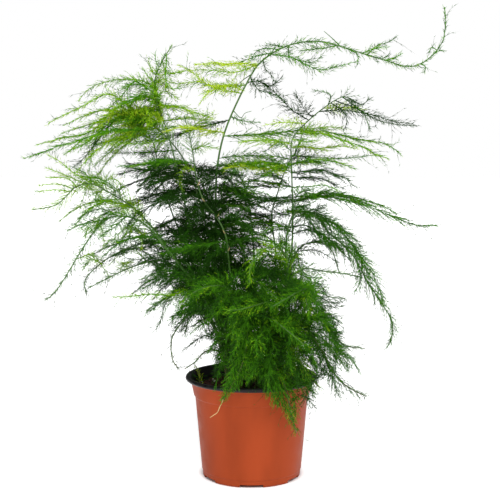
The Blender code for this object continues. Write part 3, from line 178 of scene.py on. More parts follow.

# Stems: name, tone from dark to yellow green, which stands for age and also for painted shade and light,
# foot in the soil, bare share, twig length, and the points of the front view that the stem passes: x, z and
# depth
STEMS = (
    ("climbing_shoot", 0.55, (-10, 6), 0.58, 7, ((-20, 150, 8), (-31, 215, 10), (-32, 255, 8),
        (-30, 285, 6), (-24, 311, 4), (-15, 333, 2), (-5, 353, 0), (6, 371, -2), (24, 384, -5),
        (42, 390, -8), (62, 391, -10), (84, 385, -10), (100, 380, -10), (120, 374, -8), (138, 369, -6),
        (151, 372, -5), (162, 381, -4), (169, 391, -3), (171, 406, -3), (170, 421, -3))),
    ("right_upright", 0.35, (22, 4), 0.95, 14, ((31, 150, 8), (36, 200, 6), (37, 240, 4), (36, 275, 2),
        (36, 304, 0), (42, 313, 0), (50, 321, 0), (58, 328, 0), (66, 334, -2), (75, 340, -5), (84, 343, -8),
        (90, 338, -10))),
    ("slender_upright", 0.6, (12, 14), 0.8, 12, ((18, 150, 20), (22, 200, 24), (18, 238, 22), (23, 256, 20),
        (28, 272, 16), (33, 284, 14), (41, 297, 10), (46, 312, 8))),
    ("bracted_stem", 0.6, (-4, -6), 0.85, 16, ((-12, 150, -20), (-20, 190, -26), (-23, 218, -24),
        (-31, 235, -18), (-42, 249, -12), (-48, 264, -8), (-52, 290, -4), (-56, 312, 0), (-60, 326, 0))),
    ("left_arching", 0.5, (-12, 11), 0.7, 16, ((-28, 170, 16), (-44, 240, 14), (-57, 281, 10),
        (-72, 303, 4), (-88, 317, -4), (-104, 322, -10), (-122, 322, -14), (-138, 316, -16))),
    ("left_upright", 0.6, (-16, -2), 0.78, 12, ((-40, 170, -7), (-58, 240, -5), (-68, 285, -3),
        (-76, 315, -1), (-84, 338, 1), (-86, 355, 1), (-80, 372, -1), (-70, 388, -3))),
    ("left_back", 0.45, (-14, 21), 0.7, 20, ((-48, 180, 40), (-75, 250, 50), (-83, 280, 48), (-87, 300, 44),
        (-94, 312, 38), (-106, 322, 34), (-120, 326, 30))),
    ("far_left", 0.75, (-17, 8), 0.6, 18, ((-44, 160, 12), (-80, 215, 8), (-105, 243, 0), (-128, 258, -5),
        (-145, 266, -8), (-158, 262, -10), (-168, 252, -12), (-176, 246, -12), (-197, 242, -12))),
    ("long_trailing", 0.45, (-15, -13), 0.5, 13, ((-36, 150, -30), (-75, 205, -45), (-100, 232, -50),
        (-125, 236, -50), (-140, 224, -48), (-152, 207, -46), (-162, 191, -44), (-172, 175, -44),
        (-180, 165, -44), (-187, 160, -44))),
    ("left_low_arch", 0.2, (-10, -9), 0.35, 14, ((-30, 150, -15), (-50, 195, -20), (-75, 212, -22),
        (-100, 211, -22), (-125, 201, -20), (-140, 190, -20), (-149, 181, -20), (-151, 174, -20),
        (-149, 166, -20))),
    ("left_mid_arch", 0.15, (-8, 16), 0.35, 18, ((-25, 160, 30), (-50, 208, 40), (-75, 223, 42),
        (-100, 219, 40), (-120, 212, 38), (-133, 207, 36), (-144, 201, 34))),
    ("left_side_arch", 0.4, (-20, 3), 0.3, 15, ((-32, 140, -2), (-58, 180, -7), (-80, 196, -11),
        (-100, 193, -13), (-118, 186, -13), (-132, 179, -13), (-148, 171, -13))),
    ("umbrella", 0.1, (0, 22), 0.75, 20, ((-10, 160, 40), (-25, 220, 42), (-38, 250, 38), (-46, 270, 34),
        (-52, 286, 26))),
    ("right_plume", 0.4, (34, -4), 0.38, 19, ((34, 150, -14), (31, 205, -16), (33, 226, -16),
        (40, 240, -16), (50, 240, -18), (60, 234, -20), (70, 221, -22), (82, 211, -24), (92, 200, -26),
        (99, 188, -26), (104, 178, -26), (112, 166, -26), (120, 154, -26), (126, 144, -26), (128, 134, -26),
        (127, 125, -26), (123, 117, -26))),
    ("right_side_arch", 0.35, (36, 6), 0.5, 11, ((34, 150, 14), (36, 195, 14), (48, 211, 14), (64, 212, 12),
        (72, 206, 12), (76, 196, 12), (79, 186, 12))),
    ("right_mid", 0.55, (28, -14), 0.4, 13, ((26, 140, -20), (34, 178, -24), (48, 189, -24), (62, 187, -24),
        (80, 185, -24), (100, 181, -24))),
    ("right_low", 0.25, (40, -12), 0.4, 18, ((38, 130, -18), (42, 162, -20), (52, 171, -20), (62, 167, -20),
        (72, 163, -20), (84, 162, -20))),
    ("right_low_arch", 0.4, (42, 4), 0.35, 18, ((44, 115, -6), (54, 144, -12), (66, 141, -20),
        (75, 128, -24), (84, 119, -26), (103, 116, -26))),
    ("right_front_arch", 0.3, (36, -22), 0.2, 18, ((36, 115, -34), (46, 138, -44), (60, 120, -50),
        (70, 103, -52), (78, 89, -54), (90, 79, -56), (104, 72, -56))),
    ("front_right_plume", 0.65, (24, -26), 0.1, 16, ((24, 110, -38), (32, 122, -46), (42, 108, -52),
        (50, 94, -54), (56, 86, -55), (62, 80, -55))),
    ("front_plume", 0.45, (12, -28), 0.05, 14, ((12, 100, -42), (18, 106, -52), (26, 92, -58),
        (32, 76, -60), (35, 62, -60), (38, 48, -60), (41, 38, -60))),
    ("pot_front_plume", 0.5, (-2, -26), 0.06, 15, ((-2, 110, -42), (-2, 140, -50), (-4, 122, -58),
        (-8, 103, -63), (-15, 87, -66), (-22, 75, -66), (-27, 67, -65))),
    ("low_left_front", 0.45, (-16, -20), 0.25, 20, ((-22, 125, -30), (-32, 162, -40), (-48, 173, -44),
        (-62, 169, -46), (-76, 162, -48), (-86, 157, -48), (-95, 150, -48))),
    ("hanging_loop", 0.2, (-20, -8), 0.35, 7, ((-26, 115, -14), (-44, 148, -20), (-57, 146, -24),
        (-66, 136, -26), (-72, 126, -26), (-73, 114, -26), (-71, 104, -26), (-66, 97, -26))),
    ("rim_spray", 0.5, (-23, -3), 0.25, 8, ((-24, 98, -2), (-31, 114, -2), (-42, 113, -4), (-52, 103, -4),
        (-61, 97, -4))),
    ("left_back_low", 0.2, (-18, 14), 0.3, 14, ((-28, 115, 22), (-38, 146, 26), (-50, 151, 28),
        (-62, 148, 28), (-73, 145, 28))),
    ("centre_arch", 0.6, (20, -8), 0.3, 18, ((28, 155, -32), (32, 198, -48), (20, 209, -64), (6, 203, -76),
        (-1, 190, -82), (-2, 176, -86))),
    ("centre_right", 0.5, (32, -30), 0.2, 19, ((42, 135, -45), (56, 170, -58), (46, 170, -70),
        (30, 161, -80), (18, 154, -84))),
    ("centre_left", 0.55, (4, -18), 0.22, 18, ((8, 125, -46), (16, 158, -64), (2, 155, -76),
        (-10, 152, -84), (-22, 151, -88))),
    ("centre_front", 0.5, (-8, -14), 0.2, 17, ((-10, 135, -42), (0, 180, -58), (12, 171, -72),
        (22, 163, -80))),
    ("front_low_right", 0.5, (14, -18), 0.15, 18, ((8, 120, -52), (14, 145, -66), (28, 136, -80),
        (40, 126, -86), (48, 119, -88))),
    ("front_left", 0.5, (-12, -26), 0.2, 19, ((-14, 130, -46), (-20, 170, -60), (-38, 173, -74),
        (-56, 165, -84), (-66, 157, -88))),
    ("back_arch_left", 0.3, (-6, 28), 0.35, 18, ((0, 140, 45), (-6, 200, 80), (-14, 214, 110),
        (-22, 200, 140), (-26, 178, 158))),
    ("back_arch_right", 0.35, (14, 22), 0.35, 18, ((20, 140, 45), (30, 190, 85), (38, 205, 115),
        (44, 188, 142), (46, 165, 155))),
    ("back_low_left", 0.3, (-14, 28), 0.3, 18, ((-20, 120, 45), (-34, 160, 75), (-46, 168, 100),
        (-56, 150, 122), (-60, 130, 132))),
    ("back_low_right", 0.3, (28, 20), 0.3, 18, ((36, 115, 45), (52, 150, 72), (64, 150, 95), (74, 128, 112),
        (78, 108, 118))),
    ("back_upright", 0.45, (8, 28), 0.5, 16, ((4, 160, 45), (0, 230, 70), (-6, 262, 90), (-14, 276, 118),
        (-22, 270, 148), (-28, 256, 170))),
    ("back_pot_plume", 0.35, (2, 34), 0.25, 12, ((2, 105, 48), (4, 118, 58), (6, 104, 66), (8, 84, 70),
        (9, 64, 70))),
    ("young_sprig", 0.9, (-47, -3), 0.1, 4, ((-47, 90, -3), (-49, 96, -3), (-51, 101, -4))),
)

# Side sprays: tone, which stands for age and also for painted shade and light, twig length and points; the
# first point is on the stem
SPRAYS = {
    "climbing_shoot": (
        (0.95, 16, ((-24, 311, 4), (-45, 314, -21), (-62, 316, -31), (-78, 312, -36))),
        (0.1, 22, ((-20, 322, 3), (-32, 319, 12), (-46, 316, 20), (-60, 311, 24), (-75, 306, 24),
            (-92, 304, 22), (-106, 302, 20))),
        (0.6, 26, ((-25, 307, 4), (0, 309, 14), (22, 311, 20), (46, 313, 20), (70, 311, 18), (90, 306, 16),
            (110, 303, 14), (122, 300, 12), (133, 292, 12))),
        (0.5, 7, ((-18, 326, 3), (-6, 321, -15), (8, 320, -25))),
        (0.4, 0, ((-16, 330, 2), (-9, 324, -8), (-6, 328, -12), (0, 330, -14))),
        (0.9, 18, ((-7, 349, 0), (-20, 353, -15), (-30, 350, -22), (-40, 345, -26), (-46, 336, -28))),
        (0.8, 13, ((-5, 353, 0), (-16, 352, 20), (-32, 352, 32), (-50, 356, 38), (-66, 354, 40),
            (-80, 360, 40), (-88, 369, 40))),
        (0.2, 12, ((-3, 356, 0), (8, 356, 14), (16, 352, 18), (22, 355, 20), (28, 361, 22))),
        (0.25, 10, ((-1, 360, -1), (6, 349, -14), (16, 346, -20), (24, 343, -22), (31, 338, -22))),
        (0.4, 0, ((1, 363, -1), (-8, 357, 8), (-14, 352, 12))),
        (0.95, 20, ((4, 368, -2), (-6, 372, -17), (-20, 371, -23), (-34, 372, -25), (-50, 371, -27))),
        (0.8, 12, ((7, 371, -2), (-15, 364, 20), (-35, 366, 30), (-52, 366, 34), (-66, 364, 36),
            (-80, 362, 36))),
        (0.9, 9, ((-9, 345, 1), (-28, 349, 8), (-40, 354, 12), (-50, 362, 16), (-58, 367, 18),
            (-66, 371, 18))),
        (0.45, 8, ((20, 381, -4), (8, 379, -6), (-2, 376, -10), (-14, 371, -12))),
        (0.45, 5, ((23, 383, -5), (12, 385, -1), (4, 382, 3), (0, 376, 3))),
        (0.45, 5, ((28, 386, -6), (20, 388, 8), (14, 389, 11))),
        (0.5, 8, ((32, 387, -6), (34, 378, 8), (45, 374, 12), (55, 373, 14), (62, 378, 14))),
        (0.55, 10, ((16, 379, -4), (36, 377, -14), (50, 370, -20), (62, 366, -22), (76, 369, -24),
            (94, 374, -24))),
        (0.2, 7, ((9, 374, -3), (13, 366, -12), (18, 361, -15), (20, 356, -15))),
        (0.6, 10, ((76, 387, -10), (62, 385, -3), (50, 384, 1), (42, 382, 1))),
        (0.4, 0, ((79, 386, -10), (71, 394, -9), (64, 400, -9))),
        (0.45, 3, ((83, 385, -10), (88, 383, -15), (94, 379, -11), (94, 371, -10))),
        (0.6, 8, ((97, 381, -10), (106, 384, -19), (114, 386, -21), (121, 386, -21))),
        (0.4, 3, ((103, 379, -10), (112, 388, -4), (120, 390, -2), (128, 395, -2))),
        (0.4, 3, ((114, 376, -9), (119, 378, -5), (123, 381, -1))),
        (0.6, 6, ((118, 374, -8), (125, 376, -9), (129, 378, -13), (134, 381, -15))),
        (0.5, 4, ((149, 371, -5), (154, 369, -9), (153, 364, -11))),
        (0.5, 3, ((163, 384, -4), (159, 386, 2), (157, 381, 4))),
        (0.5, 3, ((161, 380, -4), (166, 383, -12), (171, 383, -13))),
    ),
    "right_upright": (
        (0.45, 30, ((37, 249, 3), (60, 254, 0), (80, 252, -6), (100, 247, -8), (120, 239, -10),
            (140, 231, -10), (150, 228, -10), (166, 228, -10))),
        (0.2, 26, ((37, 253, 3), (20, 253, -16), (0, 253, -22), (-20, 256, -26))),
        (0.15, 18, ((36, 269, 2), (50, 271, 14), (62, 270, 20), (75, 264, 24), (83, 261, 26))),
        (0.25, 20, ((36, 273, 2), (50, 277, -15), (64, 277, -23), (76, 273, -27), (84, 271, -29),
            (89, 265, -29), (97, 262, -29))),
        (0.6, 5, ((37, 263, 2), (52, 263, -20), (66, 264, -30), (80, 258, -36))),
        (0.15, 12, ((36, 287, 1), (44, 290, 12), (55, 286, 18), (66, 283, 22))),
        (0.75, 22, ((36, 301, 0), (20, 304, -18), (5, 304, -28), (-10, 303, -32))),
        (0.7, 16, ((37, 306, 0), (46, 303, -18), (57, 304, -28))),
        (0.8, 18, ((36, 297, 0), (50, 298, 18), (64, 297, 28), (76, 299, 34), (94, 297, 38))),
        (0.7, 15, ((40, 310, 0), (56, 311, -14), (72, 308, -22), (88, 302, -26), (100, 298, -28),
            (108, 293, -28), (122, 288, -28))),
        (0.5, 9, ((36, 291, 1), (58, 289, 36), (78, 288, 46), (95, 289, 50), (110, 291, 52), (117, 290, 52))),
        (0.8, 12, ((43, 314, 0), (56, 315, 24), (70, 316, 34), (84, 314, 38))),
        (0.9, 11, ((48, 319, 0), (30, 320, -17), (12, 318, -25))),
        (0.15, 12, ((60, 329, -1), (80, 331, -15), (100, 328, -21), (114, 325, -23), (126, 321, -25),
            (143, 319, -25))),
        (0.2, 4, ((74, 339, -5), (96, 331, 10), (112, 322, 18), (130, 318, 20), (147, 317, 20))),
        (0.95, 12, ((64, 333, -2), (76, 333, 12), (90, 333, 18), (101, 331, 20))),
        (0.2, 5, ((86, 341, -9), (98, 336, -24), (104, 340, -28), (107, 342, -28))),
        (0.4, 5, ((81, 342, -7), (100, 327, -6), (104, 318, -4), (106, 312, -4))),
        (0.2, 6, ((70, 337, -3), (82, 329, -23), (85, 321, -27), (83, 314, -27))),
        (0.1, 11, ((51, 321, 0), (36, 331, 13), (22, 345, 17), (14, 352, 17), (6, 356, 17))),
        (0.1, 14, ((54, 324, 0), (47, 332, -16), (42, 340, -20), (38, 347, -20))),
        (0.4, 4, ((68, 335, -3), (70, 344, -12), (64, 347, -16), (56, 348, -16))),
        (0.5, 24, ((37, 251, 3), (62, 257, 12), (90, 254, 20), (118, 245, 24), (132, 238, 24))),
        (0.25, 24, ((37, 250, 3), (15, 251, 14), (-8, 250, 20), (-32, 248, 24))),
        (0.6, 22, ((36, 280, 2), (20, 284, -12), (4, 284, -20), (-14, 282, -22))),
        (0.6, 20, ((36, 260, 2), (20, 266, 14), (4, 268, 22), (-14, 266, 24))),
        (0.6, 20, ((36, 283, 2), (54, 287, -14), (74, 285, -24), (92, 279, -30))),
        (0.4, 20, ((36, 235, 3), (52, 238, 14), (70, 232, 20), (88, 220, 22), (100, 208, 22))),
        (0.25, 18, ((36, 220, 4), (50, 224, -8), (66, 218, -12), (82, 206, -14))),
        (0.45, 18, ((37, 252, 3), (60, 255, 6), (80, 254, 12), (100, 249, 12), (112, 244, 10))),
    ),
    "slender_upright": (
        (0.95, 22, ((29, 276, 15), (18, 279, -6), (4, 280, -14), (-12, 281, -20), (-24, 279, -22))),
        (0.6, 12, ((36, 287, 13), (20, 290, 24), (0, 290, 30), (-16, 290, 32))),
        (0.85, 14, ((33, 282, 14), (44, 284, 28), (54, 285, 34), (62, 283, 36))),
        (0.1, 16, ((25, 262, 18), (12, 263, 30), (0, 263, 36), (-12, 262, 38))),
        (0.1, 12, ((18, 238, 22), (8, 235, 30), (-4, 236, 32))),
        (0.15, 12, ((19, 233, 22), (10, 227, 8), (0, 226, 4), (-8, 228, 2))),
        (0.1, 9, ((19, 242, 22), (26, 238, 34), (33, 237, 40))),
        (0.7, 15, ((18, 149, 20), (5, 154, 18), (-7, 153, 17), (-13, 146, 17))),
        (0.7, 15, ((22, 198, 24), (23, 199, 13), (24, 198, 4), (25, 193, -2))),
    ),
    "bracted_stem": (
        (0.8, 22, ((-56, 310, 0), (-50, 318, -14), (-42, 323, -20), (-34, 327, -22))),
        (0.7, 10, ((-53, 296, -3), (-42, 299, -20), (-30, 297, -26))),
        (0.5, 22, ((-51, 285, -5), (-70, 286, -22), (-88, 285, -32), (-102, 282, -36), (-119, 281, -38))),
        (0.1, 26, ((-49, 271, -7), (-68, 271, -26), (-90, 266, -40), (-104, 258, -46))),
        (0.15, 26, ((-45, 256, -10), (-66, 254, -30), (-88, 247, -44), (-104, 236, -52), (-112, 227, -54))),
        (0.75, 7, ((-50, 277, -6), (-60, 280, -14), (-64, 272, -18), (-62, 260, -18))),
        (0.4, 24, ((-24, 216, -24), (-40, 210, -46), (-60, 208, -58), (-82, 202, -64))),
        (0.35, 22, ((-23, 212, -25), (-6, 216, -44), (14, 214, -54), (32, 206, -58))),
    ),
    "left_arching": (
        (0.75, 14, ((-95, 320, -7), (-112, 337, -14), (-126, 345, -20), (-140, 340, -24), (-150, 334, -26),
            (-162, 329, -28), (-181, 319, -28))),
        (0.7, 18, ((-91, 319, -5), (-110, 328, 16), (-130, 331, 24), (-146, 327, 28), (-168, 317, 30))),
        (0.55, 24, ((-83, 314, -2), (-105, 313, -26), (-125, 313, -36), (-142, 308, -40), (-156, 303, -42),
            (-172, 299, -42), (-188, 293, -42), (-203, 288, -42))),
        (0.7, 14, ((-117, 323, -13), (-136, 320, 2), (-155, 315, 8), (-170, 310, 10))),
        (0.7, 14, ((-134, 317, -16), (-150, 309, -8), (-166, 307, -4), (-180, 303, -2), (-192, 300, -2))),
        (0.7, 12, ((-74, 305, 3), (-92, 302, -20), (-110, 301, -30), (-127, 301, -34))),
        (0.5, 10, ((-67, 295, 6), (-85, 294, 26), (-105, 293, 36), (-130, 293, 40))),
        (0.65, 11, ((-131, 319, -15), (-140, 302, -23), (-143, 289, -25), (-145, 277, -25))),
        (0.65, 12, ((-125, 321, -15), (-150, 300, -2), (-160, 296, 2), (-168, 291, 2))),
        (0.2, 11, ((-121, 322, -14), (-142, 298, -30), (-151, 287, -34), (-160, 280, -34))),
        (0.75, 15, ((-88, 317, -4), (-104, 312, -20), (-124, 304, -30), (-142, 292, -36), (-156, 276, -38))),
        (0.7, 15, ((-95, 320, -7), (-110, 306, 8), (-126, 294, 14), (-142, 280, 16))),
    ),
    "left_upright": (
        (0.6, 13, ((-85, 345, 1), (-97, 353, -4), (-104, 356, -6), (-112, 347, -8), (-120, 339, -10),
            (-128, 331, -10))),
        (0.7, 11, ((-86, 350, 1), (-98, 357, 8), (-112, 358, 12), (-128, 356, 16), (-140, 352, 18),
            (-148, 346, 18), (-154, 338, 18))),
        (0.55, 24, ((-84, 341, 1), (-96, 343, -23), (-108, 339, -31), (-119, 334, -35))),
        (0.75, 20, ((-82, 335, 0), (-72, 334, -12), (-60, 332, -20), (-48, 328, -24), (-38, 325, -24))),
        (0.75, 16, ((-78, 320, -1), (-66, 323, 16), (-54, 324, 24), (-42, 322, 28))),
        (0.55, 22, ((-80, 325, 0), (-92, 331, 20), (-106, 330, 28), (-117, 328, 32))),
        (0.7, 4, ((-86, 356, 1), (-92, 361, 0), (-97, 369, 0))),
        (0.7, 5, ((-84, 362, 0), (-90, 369, 16), (-91, 377, 18))),
        (0.6, 5, ((-82, 368, 0), (-85, 376, -6), (-85, 382, -6))),
        (0.7, 10, ((-79, 374, -1), (-74, 363, 14), (-64, 364, 16))),
        (0.65, 12, ((-75, 380, -2), (-74, 351, -10), (-62, 350, -14))),
    ),
    "left_back": (
        (0.1, 14, ((-85, 292, 46), (-92, 294, 58), (-99, 291, 64))),
        (0.5, 22, ((-93, 311, 39), (-110, 307, 56), (-124, 304, 66), (-140, 300, 72))),
        (0.6, 22, ((-89, 304, 42), (-80, 313, 64), (-68, 317, 76))),
        (0.2, 22, ((-82, 278, 48), (-100, 278, 66), (-118, 274, 76))),
        (0.7, 15, ((-94, 312, 38), (-110, 302, 40), (-126, 288, 40), (-138, 272, 38))),
    ),
    "far_left": (
        (0.8, 4, ((-144, 265, -8), (-160, 276, -11), (-172, 286, -15), (-182, 291, -15))),
        (0.8, 4, ((-150, 265, -9), (-166, 273, -4), (-184, 280, -2))),
        (0.8, 4, ((-156, 263, -10), (-164, 270, -13), (-184, 271, -17))),
        (0.8, 4, ((-159, 261, -10), (-173, 265, -6), (-191, 264, -4))),
        (0.8, 4, ((-162, 258, -11), (-176, 260, -15), (-193, 258, -17))),
        (0.6, 22, ((-116, 250, -2), (-121, 261, -14), (-136, 270, -24), (-150, 272, -26))),
        (0.6, 14, ((-138, 264, -7), (-148, 274, 2), (-156, 279, 8))),
        (0.6, 12, ((-133, 261, -6), (-140, 254, 6), (-137, 244, 10))),
        (0.7, 18, ((-105, 243, 0), (-118, 248, 18), (-136, 250, 26), (-156, 244, 30), (-172, 232, 30))),
        (0.65, 18, ((-118, 252, -3), (-132, 250, -22), (-148, 240, -30), (-160, 226, -34))),
    ),
    "long_trailing": (
        (0.45, 12, ((-127, 235, -50), (-142, 231, -57), (-155, 228, -63), (-166, 223, -65))),
        (0.4, 12, ((-118, 237, -50), (-136, 243, -44), (-149, 238, -40), (-158, 232, -38))),
        (0.45, 16, ((-113, 235, -50), (-122, 227, -63), (-130, 222, -69), (-138, 216, -71))),
        (0.4, 16, ((-84, 214, -48), (-98, 218, -62), (-116, 214, -70), (-134, 200, -74))),
    ),
    "left_low_arch": (
        (0.3, 14, ((-62, 206, -21), (-80, 204, -40), (-96, 201, -48))),
        (0.25, 18, ((-50, 195, -20), (-66, 196, -36), (-84, 188, -46), (-100, 176, -50))),
    ),
    "left_mid_arch": (
        (0.1, 20, ((-55, 212, 41), (-70, 214, 61), (-86, 212, 71), (-100, 206, 75))),
    ),
    "left_side_arch": (
        (0.3, 9, ((-73, 192, -10), (-92, 199, -28), (-104, 197, -34), (-114, 199, -36))),
        (0.6, 11, ((-64, 185, -8), (-80, 187, 4), (-92, 182, 10), (-101, 179, 12))),
        (0.26, 18, ((-58, 180, -7), (-74, 184, 10), (-92, 178, 18), (-108, 166, 20))),
        (0.3, 18, ((-45, 165, -5), (-62, 170, 14), (-78, 162, 24), (-92, 150, 26))),
    ),
    "umbrella": (
        (0.08, 34, ((-38, 250, 38), (-60, 259, 33), (-80, 257, 31), (-100, 251, 31), (-118, 244, 33),
            (-134, 237, 33), (-151, 229, 33))),
        (0.1, 24, ((-46, 269, 34), (-65, 276, 50), (-85, 273, 58), (-102, 268, 62), (-116, 262, 62),
            (-128, 254, 62))),
        (0.08, 18, ((-50, 279, 29), (-62, 284, 25), (-80, 285, 19), (-96, 283, 15), (-112, 284, 13))),
        (0.15, 22, ((-48, 276, 31), (-35, 278, 14), (-20, 275, 6), (-6, 272, 0))),
        (0.12, 24, ((-40, 256, 37), (-24, 260, 52), (-6, 258, 58), (12, 255, 60))),
        (0.1, 24, ((-27, 226, 41), (-14, 236, 56), (0, 238, 64), (16, 235, 68))),
    ),
    "right_plume": (
        (0.35, 12, ((42, 240, -16), (52, 232, -34), (60, 221, -40), (68, 213, -42), (79, 210, -42))),
        (0.2, 9, ((46, 240, -17), (56, 240, -30), (62, 246, -36), (66, 243, -38))),
        (0.3, 9, ((56, 237, -19), (66, 232, -8), (78, 228, -4), (85, 220, -4))),
        (0.4, 8, ((96, 194, -26), (98, 182, -36), (96, 173, -40), (93, 167, -40))),
        (0.4, 15, ((33, 168, -15), (48, 175, -10), (61, 175, -6), (67, 167, -4))),
        (0.4, 16, ((45, 241, -17), (62, 238, -8), (80, 224, -4), (94, 206, -4), (104, 188, -6))),
        (0.4, 15, ((60, 234, -20), (72, 228, -32), (86, 216, -38), (98, 198, -40), (108, 180, -40))),
        (0.45, 16, ((82, 211, -24), (94, 204, -14), (106, 190, -10), (114, 174, -10), (120, 158, -12))),
        (0.3, 18, ((33, 226, -16), (48, 228, -30), (64, 220, -36), (80, 206, -38))),
    ),
    "right_side_arch": (
        (0.3, 9, ((41, 205, 14), (56, 206, 28), (68, 201, 34), (78, 194, 36))),
        (0.3, 16, ((48, 211, 14), (60, 214, 22), (76, 208, 26), (90, 196, 28))),
    ),
    "right_mid": (
        (0.5, 12, ((40, 185, -24), (52, 181, -36), (64, 181, -42))),
        (0.55, 15, ((26, 122, -18), (20, 133, -4), (13, 134, 9), (11, 125, 14))),
        (0.55, 15, ((28, 158, -22), (16, 166, -16), (5, 165, -10), (1, 157, -8))),
    ),
    "right_low": (
        (0.25, 10, ((51, 170, -20), (64, 162, -33), (74, 158, -37), (86, 160, -37))),
        (0.35, 12, ((46, 167, -20), (60, 158, -4), (72, 154, 0), (84, 155, 0))),
        (0.25, 15, ((39, 111, -16), (27, 117, -13), (16, 117, -11), (12, 109, -10))),
        (0.25, 15, ((38, 138, -19), (27, 144, -18), (16, 143, -18), (12, 136, -18))),
    ),
    "right_low_arch": (
        (0.45, 16, ((57, 144, -14), (68, 147, -2), (76, 143, 4), (82, 138, 6))),
        (0.45, 14, ((70, 136, -22), (82, 112, -36), (90, 107, -38), (99, 94, -38))),
        (0.4, 15, ((43, 112, -5), (55, 117, 6), (66, 119, 15), (72, 116, 21))),
        (0.4, 15, ((49, 135, -9), (60, 143, -6), (71, 141, -4), (74, 133, -3))),
        (0.35, 18, ((54, 144, -12), (68, 134, -4), (80, 118, 0), (88, 104, 2))),
    ),
    "right_front_arch": (
        (0.3, 14, ((63, 114, -50), (70, 98, -60), (75, 84, -64), (80, 71, -64))),
        (0.5, 16, ((52, 132, -47), (66, 124, -34), (78, 108, -30), (88, 98, -30))),
        (0.3, 15, ((36, 112, -33), (48, 117, -33), (60, 117, -33), (65, 109, -33))),
        (0.3, 15, ((48, 137, -45), (60, 145, -46), (72, 142, -46), (76, 133, -46))),
        (0.35, 18, ((46, 138, -44), (62, 132, -60), (78, 116, -66), (88, 100, -68))),
    ),
    "low_left_front": (
        (0.7, 6, ((-57, 171, -45), (-72, 165, -58), (-92, 166, -64), (-108, 164, -66), (-125, 163, -66))),
        (0.15, 9, ((-40, 169, -42), (-60, 178, -25), (-78, 173, -19), (-90, 160, -17))),
        (0.45, 12, ((-35, 165, -41), (-48, 160, -56), (-60, 155, -62), (-67, 152, -62))),
        (0.3, 5, ((-72, 164, -47), (-79, 154, -60), (-82, 142, -64), (-87, 133, -64))),
        (0.27, 18, ((-32, 162, -40), (-46, 180, -52), (-64, 186, -60), (-84, 180, -64), (-98, 170, -66))),
        (0.3, 16, ((-32, 162, -40), (-44, 160, -56), (-58, 152, -64), (-72, 142, -66))),
    ),
    "left_back_low": (
        (0.25, 10, ((-31, 125, 23), (-42, 128, 36), (-52, 122, 40), (-63, 114, 40))),
    ),
    "hanging_loop": (
        (0.45, 8, ((-36, 138, -18), (-46, 138, -36), (-52, 133, -40), (-56, 129, -40))),
    ),
    "centre_arch": (
        (0.6, 15, ((25, 128, -22), (39, 136, -24), (51, 133, -25), (55, 124, -25))),
        (0.6, 15, ((30, 166, -35), (18, 171, -28), (7, 172, -21), (1, 168, -17))),
    ),
    "centre_front": (
        (0.5, 15, ((-9, 111, -29), (-6, 113, -46), (-4, 110, -62), (-2, 99, -70))),
        (0.5, 15, ((-10, 138, -43), (-11, 137, -60), (-13, 135, -75), (-14, 129, -85))),
    ),
    "centre_left": (
        (0.55, 15, ((6, 107, -34), (5, 108, -46), (5, 105, -57), (4, 99, -64))),
        (0.55, 15, ((10, 131, -49), (25, 136, -53), (40, 135, -56), (47, 127, -58))),
    ),
    "centre_right": (
        (0.5, 15, ((38, 112, -38), (37, 113, -52), (36, 110, -64), (35, 103, -71))),
        (0.5, 15, ((45, 142, -47), (55, 145, -56), (64, 143, -65), (69, 136, -69))),
    ),
    "front_left": (
        (0.5, 15, ((-13, 112, -39), (4, 122, -33), (20, 122, -27), (26, 112, -25))),
        (0.5, 15, ((-15, 143, -50), (-8, 152, -39), (-1, 153, -28), (2, 145, -25))),
    ),
    "front_low_right": (
        (0.5, 15, ((11, 102, -36), (23, 108, -43), (35, 105, -49), (39, 95, -52))),
        (0.5, 15, ((8, 123, -53), (6, 126, -68), (5, 122, -83), (4, 113, -90))),
    ),
    "front_plume": (
        (0.4, 15, ((12, 97, -40), (14, 100, -54), (15, 97, -67), (15, 87, -72))),
        (0.4, 15, ((22, 100, -55), (13, 103, -66), (5, 100, -77), (0, 92, -82))),
        (0.45, 13, ((18, 106, -52), (23, 92, -62), (27, 78, -66), (31, 64, -66), (36, 50, -64))),
        (0.4, 12, ((18, 106, -52), (29, 94, -54), (36, 80, -57), (39, 66, -59), (40, 52, -60))),
        (0.4, 12, ((14, 102, -46), (17, 98, -62), (21, 86, -67), (25, 72, -67), (29, 62, -66))),
        (0.42, 12, ((12, 100, -42), (13, 98, -60), (15, 86, -67), (19, 74, -68), (24, 62, -67))),
    ),
    "front_right_plume": (
        (0.65, 15, ((24, 98, -33), (26, 100, -46), (27, 97, -57), (28, 89, -63))),
        (0.65, 15, ((27, 117, -42), (18, 128, -31), (9, 128, -20), (6, 119, -17))),
    ),
    "back_arch_left": (
        (0.3, 15, ((0, 146, 48), (8, 154, 60), (15, 155, 71), (18, 148, 75))),
        (0.3, 15, ((-4, 189, 71), (-3, 195, 58), (-3, 192, 46), (-3, 183, 42))),
    ),
    "back_arch_right": (
        (0.35, 15, ((21, 143, 47), (28, 147, 54), (35, 148, 61), (38, 144, 65))),
        (0.35, 15, ((28, 181, 75), (14, 185, 76), (2, 185, 76), (-4, 179, 77))),
    ),
    "pot_front_plume": (
        (0.5, 13, ((-2, 138, -50), (-7, 122, -61), (-13, 106, -67), (-19, 90, -69), (-25, 77, -68))),
        (0.45, 12, ((-3, 130, -54), (0, 118, -60), (-4, 102, -64), (-10, 88, -66), (-18, 76, -67))),
        (0.42, 12, ((-6, 115, -59), (-12, 101, -64), (-17, 90, -66), (-22, 79, -67), (-26, 70, -67))),
    ),
}

